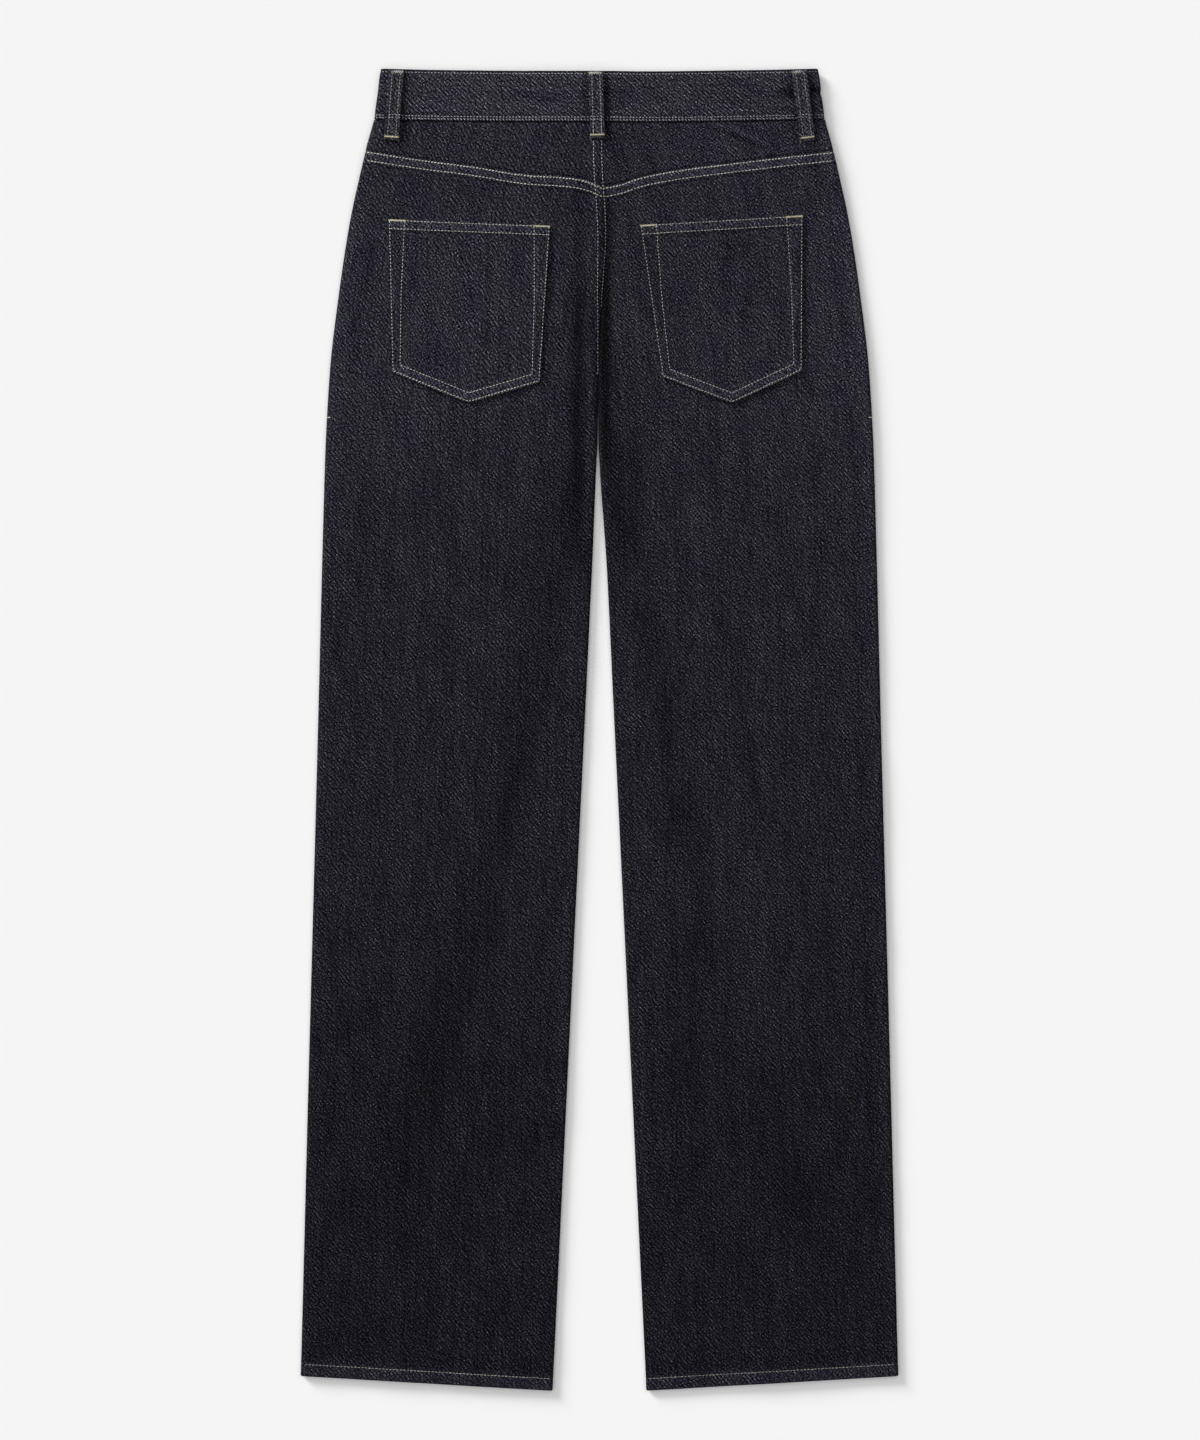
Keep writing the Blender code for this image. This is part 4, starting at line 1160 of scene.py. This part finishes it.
def sew_waistband(sewing):
    """Rows along both edges, and the slanting thread that shows at the waist seam's fold."""
    half = half_width_at(WAIST_SEAM)
    narrow = half_width_at(TOP - 2.0) / half
    x = np.linspace(-half + 1.0, half - 1.0, 90)
    drop = 1.0 - (x / half) ** 2
    low = WAIST_SEAM + SEAM_GAP / 2.0 - BACK_WAIST_DROP * drop
    for kind, up, scale, gap, slant in (
            ("stitches_waistband", 3.2, 1.0, 0.9, 0.0),
            ("stitches_waistband_edge", 1.1, 1.0, 0.6, -45.0),
            ("stitches_waistband", 37.9, narrow, 0.9, 0.0)):
        line = np.stack([x * scale, low + up], axis=-1)
        sewing.row(kind, line, pitch=2.6, gap=gap, slant=slant)
    low = WAIST_SEAM + SEAM_GAP / 2.0 - FRONT_WAIST_DROP * drop
    for up, scale in ((1.8, 1.0), (38.3, narrow)):
        for part in (x < OVERLAP_END, x > OVERLAP_END + 1.5):
            line = np.stack([x * scale, low + up], axis=-1)[part]
            sewing.row("stitches_waistband", line, -1, pitch=3.0)


def sew_loop(sewing, top, bottom, face):
    """Two rows down a loop, a bar tack near its lower end and looser zigzag at both ends."""
    top, bottom = np.array(top, float), np.array(bottom, float)
    way = (bottom - top) / np.hypot(*(bottom - top))
    square = np.array([-way[1], way[0]])
    for off in (-1.0, 1.0):
        shift = square * off * (LOOP_WIDTH / 2.0 - 2.8)
        line = [top + way * 2.5 + shift, bottom - way * 3.5 + shift]
        sewing.row("stitches_loops", line, face, 2.6, 0.7)
    wide = square * 5.8
    for kind, place, width, pitch in (
            ("bar_tacks", bottom - way * 3.2, 1.7, 0.55),
            ("zigzag_at_loop_ends", bottom - way * 1.3, 2.2, 1.15),
            ("zigzag_at_loop_ends", top + way * 1.9, 2.8, 0.75)):
        sewing.bar(kind, place - wide, place + wide, width, face, pitch)


def sew_buttonhole(sewing):
    """Bars side by side round the slit that the button comes through."""
    x, y = BUTTON_PLACE
    for off in (1.6, -1.6):
        sewing.bar("bar_tacks", (x - 4.0, y + off), (x + 12.5, y + off), 2.4, -1)


def sew_all():
    sewing = Sewing(kind for kind, *_ in THREADS)
    for side, _ in SIDES:
        sew_yoke(sewing, side)
        sew_pocket(sewing, side)
        sew_hems(sewing, side)
        sew_front(sewing, side)
    sew_middle(sewing)
    sew_waistband(sewing)
    for loop in BACK_LOOPS:
        sew_loop(sewing, loop.top, loop.bottom, 1)
    for _, side in FRONT_LOOPS:
        x, high = side * FRONT_LOOP_X, front_loop_top()
        sew_loop(sewing, (x, high), (x, high - LOOP_LENGTH), -1)
    sew_buttonhole(sewing)
    for kind, thread, width, height in THREADS:
        add_stitches(kind, sewing.kinds[kind], thread, width, height)


# ---- Metal trims

def add_turned(name, profile, place, finish, around=64):
    """A turned piece: radius and height up its profile, from the middle of one face round to
    the middle of the other."""
    angle = np.linspace(0.0, 2.0 * math.pi, around, endpoint=False)
    rings = [np.stack([place[0] + radius * np.cos(angle), place[1] + radius * np.sin(angle),
                       np.full(around, height)], axis=-1) for radius, height in profile]
    index = np.arange(len(profile) * around).reshape(len(profile), around)
    after = np.roll(index, -1, axis=1)
    faces = np.stack([index[:-1], after[:-1], after[1:], index[1:]], axis=-1).reshape(-1, 4)
    return add_mesh(name, np.concatenate(rings), faces, [finish], crisp=35.0)


def add_button():
    """A tack button's pressed head, plain: rolled rim, sunk ring and low dome."""
    profile = [(0.02, 0.30), (1.6, 0.34), (3.0, 0.52), (3.6, 0.80), (4.2, 0.86), (6.2, 0.78),
               (6.7, 0.62), (7.2, 0.22), (7.8, 0.04), (8.2, 0.14), (8.5, 0.5), (8.45, 1.0),
               (8.0, 1.5), (7.2, 1.8), (3.0, 1.88), (0.02, 1.9)]
    piece = add_turned("button_head", profile, BUTTON_PLACE, BUTTON_BRASS)
    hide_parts("button")


def add_zip():
    """A closed metal zip: tape, and teeth that meet along the middle."""
    y = np.linspace(ZIP_BOTTOM, ZIP_TOP, 60)[:, None]
    across = stations(-ZIP_WIDTH / 2.0, (ZIP_WIDTH / 2.0, 14))[None, :]
    base = SECTIONS.read(y).floor + BENEATH
    x = ZIP_MIDDLE + across + 0.0 * y
    points = np.stack([x, y + 0.0 * x, base + 0.8 + 0.0 * x], axis=-1)
    tape = add_shell("zip_tape", points, 0.0, 0.7, (x, points[..., 1], np.ones(x.shape)), -1,
                     (ZIP_TAPE, ZIP_TAPE))
    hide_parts("zip")
    points, faces = [], []
    count = 84
    for number in range(count):
        height = blend(ZIP_BOTTOM + 4.0, ZIP_TOP - 6.0, number / (count - 1.0))
        side = 1 if number % 2 else -1
        under = float(SECTIONS.read(np.array(height)).floor) + BENEATH
        for end in (0, 1):
            for dx, dz in ((-0.4, 0.15), (2.4, 0.0), (2.4, 1.45), (-0.4, 1.3)):
                points.append((ZIP_MIDDLE + side * dx, height + (end - 0.5) * 1.1, under + dz))
        low = number * 8
        rings = [[0, 1, 2, 3], [7, 6, 5, 4], [0, 4, 5, 1], [1, 5, 6, 2], [2, 6, 7, 3], [3, 7, 4, 0]]
        if side > 0:
            rings = [ring[::-1] for ring in rings]
        faces += [[low + corner for corner in ring[::-1]] for ring in rings]
    teeth = add_mesh("zip_teeth", points, faces, [ZIP_BRASS], crisp=30.0)


# ---- Finishes

def linear(colour):
    """An sRGB hex colour as linear light."""
    values = [int(colour[start:start + 2], 16) / 255.0 for start in (1, 3, 5)]
    values = [v / 12.92 if v <= 0.04045 else ((v + 0.055) / 1.055) ** 2.4 for v in values]
    return (*values, 1.0)


def set_inputs(node, inputs):
    """Each input takes a value, an output, or the first output of a node."""
    for key, value in inputs.items():
        if isinstance(value, bpy.types.Node):
            value = next(output for output in value.outputs if output.enabled)
        if isinstance(value, bpy.types.NodeSocket):
            node.id_data.links.new(value, node.inputs[key])
        else:
            node.inputs[key].default_value = value


def add_node(tree, kind, inputs=None, **settings):
    """A node with its settings and its inputs."""
    node = tree.nodes.new(kind)
    for key, value in settings.items():
        setattr(node, key, value)
    set_inputs(node, inputs or {})
    return node


def new_finish(name):
    finish = bpy.data.materials.new(name)
    finish.use_nodes = True
    return finish, finish.node_tree, finish.node_tree.nodes["Principled BSDF"]


MATH, VECTOR, MIX = "ShaderNodeMath", "ShaderNodeVectorMath", "ShaderNodeMix"

# Twelve and a half ounce denim has about 60 warp ends and 52 weft picks to the inch.  They
# are drawn this much coarser, so that the twill still shows from a step away.
WARP_PITCH = 0.42
WEFT_PITCH = 0.49
DRAWN_COARSER = 2.0
# How much threads vary in thickness, how far apart the flecks of fibre lie, and how bright
THICK_AND_THIN = 0.8
FLECK = 1.06
FLECK_LIGHT = 2.5


def speckle(tree, place, per_mm, shift=(0.0, 0.0, 0.0)):
    """A chance value for each cell of a grid, and for the cells beside it by the shift."""
    cells = add_node(tree, VECTOR, {0: place, 1: (*per_mm, 0.0), 2: shift},
                     operation="MULTIPLY_ADD")
    cells = add_node(tree, VECTOR, {0: cells}, operation="FLOOR")
    return add_node(tree, "ShaderNodeTexWhiteNoise", {"Vector": cells}, noise_dimensions="2D")


def twill(name, warp, weft, reverse=False, relief=0.6):
    """Three-by-one twill, its warp dyed with indigo and its weft left undyed.  On the face
    only every fourth crossing shows weft, a pale dot on a dark ground, in slanting lines."""
    finish, tree, shader = new_finish(name)
    grain = add_node(tree, "ShaderNodeAttribute", attribute_name="grain").outputs["Vector"]
    wander = add_node(tree, "ShaderNodeTexNoise", {"Vector": grain, "Scale": 1 / 22.0,
                                                   "Detail": 0.0})
    moved = add_node(tree, VECTOR, {0: wander.outputs["Color"], 1: (1.6, 1.6, 0.0), 2: grain},
                     operation="MULTIPLY_ADD")
    threads = (1 / (WARP_PITCH * DRAWN_COARSER), 1 / (WEFT_PITCH * DRAWN_COARSER))
    cells = add_node(tree, VECTOR, {0: moved, 1: (*threads, 0.0)}, operation="MULTIPLY")
    cell = add_node(tree, VECTOR, {0: cells}, operation="FLOOR")
    within = add_node(tree, VECTOR, {0: cells}, operation="FRACTION")
    index = add_node(tree, "ShaderNodeSeparateXYZ", {0: cell})
    inside = add_node(tree, "ShaderNodeSeparateXYZ", {0: within})
    steps = add_node(tree, MATH, {0: index.outputs[0], 1: index.outputs[1]}, operation="ADD")
    repeat = add_node(tree, MATH, {0: steps, 1: 4.0}, operation="FLOORED_MODULO")
    crossing = add_node(tree, MATH, {0: repeat, 1: 0.5},
                        operation="GREATER_THAN" if reverse else "LESS_THAN")
    # Each thread is rounded across its own width
    arc_across, arc_along = (
        add_node(tree, MATH, {0: add_node(tree, MATH, {0: inside.outputs[axis], 1: math.pi},
                                          operation="MULTIPLY")}, operation="SINE")
        for axis in (0, 1))
    dot = add_node(tree, MATH, {0: arc_across, 1: arc_along}, operation="MULTIPLY")
    dot = add_node(tree, "ShaderNodeMapRange", {"Value": dot, "From Min": 0.2, "From Max": 0.5},
                   interpolation_type="SMOOTHSTEP")
    shows = add_node(tree, MATH, {0: crossing, 1: dot}, operation="MULTIPLY")
    # Ring-spun cotton is thick and thin, so a fat crossing mostly lies beside a thin one
    fat = add_node(tree, MATH, {0: speckle(tree, moved, threads),
                                1: speckle(tree, moved, threads, (1.0, 1.0, 0.0))},
                   operation="SUBTRACT")
    fat = add_node(tree, MATH, {0: fat, 1: THICK_AND_THIN, 2: 1.0}, operation="MULTIPLY_ADD")
    # and its ends of fibre catch the light, painted as bright flecks, each with dark beside it
    fleck, right, above = (
        add_node(tree, MATH, {0: speckle(tree, moved, (1 / FLECK, 1 / FLECK), shift), 1: 2.0},
                 operation="POWER")
        for shift in ((0.0, 0.0, 0.0), (1.0, 0.0, 0.0), (0.0, 1.0, 0.0)))
    beside = add_node(tree, MATH, {0: right, 1: above}, operation="ADD")
    fleck = add_node(tree, MATH, {0: beside, 1: -0.5, 2: fleck}, operation="MULTIPLY_ADD")
    fleck = add_node(tree, MATH, {0: fleck, 1: FLECK_LIGHT, 2: 1.0}, operation="MULTIPLY_ADD")
    fleck = add_node(tree, MATH, {0: fleck, 1: 0.15}, operation="MAXIMUM")
    fat = add_node(tree, MATH, {0: fat, 1: fleck}, operation="MULTIPLY")
    # The warp takes the dye unevenly: from thread to thread, along each thread, in patches
    thread = add_node(tree, "ShaderNodeTexWhiteNoise", {"W": index.outputs[0]},
                      noise_dimensions="1D")
    stretch = add_node(tree, VECTOR, {0: grain, 1: (0.7, 1 / 26.0, 0.0)}, operation="MULTIPLY")
    slub = add_node(tree, "ShaderNodeTexNoise", {"Vector": stretch, "Scale": 1.0, "Detail": 2.0})
    streaks = add_node(tree, VECTOR, {0: grain, 1: (1 / 14.0, 1 / 50.0, 0.0)},
                       operation="MULTIPLY")
    patch = add_node(tree, "ShaderNodeTexNoise", {"Vector": streaks, "Scale": 1.0,
                                                  "Detail": 2.0, "Roughness": 0.6})
    spread = add_node(tree, MATH, {0: thread, 1: 0.3, 2: -0.35}, operation="MULTIPLY_ADD")
    spread = add_node(tree, MATH, {0: slub, 1: 1.5, 2: spread}, operation="MULTIPLY_ADD")
    spread = add_node(tree, MATH, {0: patch, 1: 0.9, 2: spread}, operation="MULTIPLY_ADD")
    hue = add_node(tree, "ShaderNodeMapRange", {"Value": patch, "From Min": 0.36,
                                                "From Max": 0.64})
    ground = add_node(tree, MIX, {0: hue, 6: linear(warp[0]), 7: linear(warp[1])},
                      data_type="RGBA")
    colour = add_node(tree, MIX, {0: shows, 6: ground, 7: linear(weft)}, data_type="RGBA")
    # The grain's third number is the tone of the cloth at that place, with its painted shade and
    # painted highlights
    shade = add_node(tree, "ShaderNodeSeparateXYZ", {0: grain}).outputs[2]
    shade = add_node(tree, MATH, {0: spread, 1: shade}, operation="MULTIPLY")
    shade = add_node(tree, MATH, {0: shade, 1: fat}, operation="MULTIPLY")
    colour = add_node(tree, VECTOR, {0: colour, "Scale": shade}, operation="SCALE")
    # Warp threads stand up, and dip where they pass under the weft
    dip = add_node(tree, MATH, {0: shows, 1: -0.6, 2: arc_across}, operation="MULTIPLY_ADD")
    bump = add_node(tree, "ShaderNodeBump", {"Height": dip, "Strength": relief,
                                             "Distance": 0.16 * METRES_PER_MM})
    set_inputs(shader, {"Base Color": colour, "Normal": bump, "Roughness": 0.85,
                        "Specular IOR Level": 0.02, "Sheen Weight": 0.005,
                        "Sheen Roughness": 0.5})
    return finish


def spun_thread(name, colour):
    """Core-spun polyester sewing thread, three plies: dull, with a fine slanting twist."""
    finish, tree, shader = new_finish(name)
    twist = add_node(tree, "ShaderNodeAttribute", attribute_name="twist").outputs["Vector"]
    parts = add_node(tree, "ShaderNodeSeparateXYZ", {0: twist})
    turns = add_node(tree, MATH, {0: parts.outputs[0], 1: 1 / 0.6, 2: parts.outputs[1]},
                     operation="MULTIPLY_ADD")
    wave = add_node(tree, MATH, {0: turns, 1: 1.0}, operation="PINGPONG")
    light = add_node(tree, MATH, {0: wave, 1: 0.3, 2: 0.85}, operation="MULTIPLY_ADD")
    # The twist's third number scales how light each stitch is: it carries the painted shade at the
    # stitch's ends and in deep folds
    light = add_node(tree, MATH, {0: light, 1: parts.outputs[2]}, operation="MULTIPLY")
    shade = add_node(tree, VECTOR, {0: linear(colour)[:3], "Scale": light}, operation="SCALE")
    bump = add_node(tree, "ShaderNodeBump", {"Height": wave, "Strength": 0.5,
                                             "Distance": 0.08 * METRES_PER_MM})
    set_inputs(shader, {"Base Color": shade, "Normal": bump, "Roughness": 0.7,
                        "Specular IOR Level": 0.3})
    return finish


def old_brass(name, colour, dark, roughness):
    """Brass that was darkened in a bath and rubbed back: bright and brown in an uneven cloud,
    with a satin gloss."""
    finish, tree, shader = new_finish(name)
    place = add_node(tree, "ShaderNodeTexCoord").outputs["Object"]
    cloud = add_node(tree, "ShaderNodeTexNoise", {"Vector": place, "Scale": 420.0, "Detail": 4.0})
    share = add_node(tree, "ShaderNodeMapRange", {"Value": cloud, "From Min": 0.35,
                                                  "From Max": 0.65})
    shade = add_node(tree, MIX, {0: share, 6: linear(dark), 7: linear(colour)}, data_type="RGBA")
    gloss = add_node(tree, MATH, {0: cloud, 1: 0.3, 2: roughness - 0.15},
                     operation="MULTIPLY_ADD")
    bump = add_node(tree, "ShaderNodeBump", {"Height": cloud, "Strength": 0.15,
                                             "Distance": 0.05 * METRES_PER_MM})
    set_inputs(shader, {"Base Color": shade, "Roughness": gloss, "Normal": bump,
                        "Metallic": 1.0})
    return finish


def plain_paper(name, colour):
    """A seamless paper sweep: matt and pale."""
    finish, _, shader = new_finish(name)
    set_inputs(shader, {"Base Color": linear(colour), "Roughness": 1.0,
                        "Specular IOR Level": 0.0})
    return finish


WARP_INDIGO = ("#22212B", "#232328")
# The waistband is the same denim drawn lighter: a painted sheen for the light that its cross-grain
# twill sends back
BAND_WARP = ("#25242E", "#26262B")
WEFT_ECRU = "#43434B"
BAND_WEFT = "#55555D"
DENIM_FACE = twill("raw_denim_face", WARP_INDIGO, WEFT_ECRU)
DENIM_REVERSE = twill("raw_denim_reverse", ("#23232D", "#26272D"), "#A5A39C", reverse=True)
BAND_DENIM = twill("raw_denim_waistband", BAND_WARP, BAND_WEFT)
LOOP_DENIM = twill("raw_denim_loop", ("#27272D", "#29272B"), "#535359")
SEAM_THREAD = spun_thread("pale_grey_topstitch_thread", "#BCB9AF")
PALE_THREAD = spun_thread("pale_topstitch_thread", "#B4B4B8")
HEM_THREAD = spun_thread("grey_beige_hem_thread", "#96948D")
TACK_THREAD = spun_thread("straw_bar_tack_thread", "#CCC5A6")
BUTTON_BRASS = old_brass("antiqued_brass", "#9C824C", "#4E3D20", 0.38)
ZIP_BRASS = old_brass("zip_brass", "#8A744A", "#4A3C24", 0.4)
ZIP_TAPE = twill("black_zip_tape", ("#17171B", "#19191D"), "#24242A")

# Each kind of stitching: its thread, how wide it is and how high it stands
THREADS = (
    ("stitches_seams", SEAM_THREAD, 0.72, 0.30),
    ("stitches_seam_edges", SEAM_THREAD, 0.84, 0.32),
    # Pale dashes along folded edges: weft showing there, with a painted highlight
    ("weft_and_highlight_at_edges", HEM_THREAD, 0.45, 0.20),
    ("stitches_pockets", SEAM_THREAD, 0.55, 0.28),
    ("stitches_centre_seam", PALE_THREAD, 0.62, 0.28),
    ("stitches_waistband", PALE_THREAD, 0.53, 0.26),
    ("stitches_waistband_edge", PALE_THREAD, 0.45, 0.22),
    ("stitches_loops", PALE_THREAD, 0.39, 0.24),
    ("zigzag_at_loop_ends", SEAM_THREAD, 0.50, 0.24),
    ("stitches_hems", HEM_THREAD, 0.50, 0.22),
    ("bar_tacks", TACK_THREAD, 0.55, 0.30),
)


# ---- Table, light and camera

FLOOR_SIZE = 60000.0
PAPER = "#E9E9E9"
FRAME_HEIGHT = 1152.0
FRAME_MIDDLE = (0.4, 8.0)
LENS = 100.0
SENSOR = 36.0
CLOTH_LEVEL = 5.0


def add_floor():
    half = FLOOR_SIZE / 2.0
    corners = [(-half, -half, 0.0), (half, -half, 0.0), (half, half, 0.0), (-half, half, 0.0)]
    mesh = bpy.data.meshes.new("floor")
    mesh.from_pydata(np.array(corners) * METRES_PER_MM, [], [(0, 1, 2, 3)])
    mesh.materials.append(plain_paper("pale_paper", PAPER))
    floor = bpy.data.objects.new("floor", mesh)
    bpy.context.scene.collection.objects.link(floor)


def add_sun(name, azimuth, elevation, strength, spread):
    """A broad soft light from far off: azimuth is from +X towards +Y."""
    light = bpy.data.lights.new(name, "SUN")
    light.energy = strength
    light.angle = math.radians(spread)
    sun = bpy.data.objects.new(name, light)
    turn, tilt = math.radians(azimuth), math.radians(elevation)
    across = math.cos(tilt)
    toward = Vector((across * math.cos(turn), across * math.sin(turn), math.sin(tilt)))
    sun.rotation_mode = "QUATERNION"
    sun.rotation_quaternion = toward.to_track_quat("Z", "Y")
    bpy.context.scene.collection.objects.link(sun)


def add_surroundings():
    """A pale room to the eye, which adds only a little light of its own."""
    world = bpy.data.worlds.new("studio")
    world.use_nodes = True
    tree = world.node_tree
    background = tree.nodes["Background"]
    seen = add_node(tree, "ShaderNodeLightPath").outputs["Is Camera Ray"]
    strength = add_node(tree, MATH, {0: seen, 1: 0.85, 2: 0.06}, operation="MULTIPLY_ADD")
    set_inputs(background, {"Strength": strength, "Color": (1.0, 1.0, 1.0, 1.0)})
    bpy.context.scene.world = world


def add_camera():
    camera = bpy.data.cameras.new("camera")
    camera.lens = LENS
    camera.sensor_width = SENSOR
    camera.clip_end = 100.0
    holder = bpy.data.objects.new("camera", camera)
    away = FRAME_HEIGHT * LENS / SENSOR + CLOTH_LEVEL
    holder.location = [v * METRES_PER_MM for v in (*FRAME_MIDDLE, away)]
    bpy.context.scene.collection.objects.link(holder)
    bpy.context.scene.camera = holder


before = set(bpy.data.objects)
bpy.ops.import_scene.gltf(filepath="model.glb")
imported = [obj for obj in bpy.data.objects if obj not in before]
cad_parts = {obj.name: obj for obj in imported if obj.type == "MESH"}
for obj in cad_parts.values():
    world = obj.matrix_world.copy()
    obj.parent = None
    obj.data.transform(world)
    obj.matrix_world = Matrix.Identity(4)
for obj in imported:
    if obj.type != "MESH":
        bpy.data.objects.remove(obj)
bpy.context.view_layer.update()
add_floor()
for side, side_name in SIDES:
    add_leg_back(side, side_name)
    add_yoke(side, side_name)
    add_leg_front(side, side_name)
    add_facing(side, side_name)
    add_pocket(side, side_name)
add_waistband()
for back_loop in BACK_LOOPS:
    add_back_loop(back_loop)
for loop_name, side in FRONT_LOOPS:
    add_front_loop(loop_name, side)
add_button()
add_zip()
sew_all()
add_sun("key_light", azimuth=135.0, elevation=22.0, strength=3.45, spread=22.0)
add_sun("top_light", azimuth=135.0, elevation=88.0, strength=2.04, spread=90.0)
add_surroundings()
add_camera()
bpy.context.scene.view_settings.view_transform = "Standard"
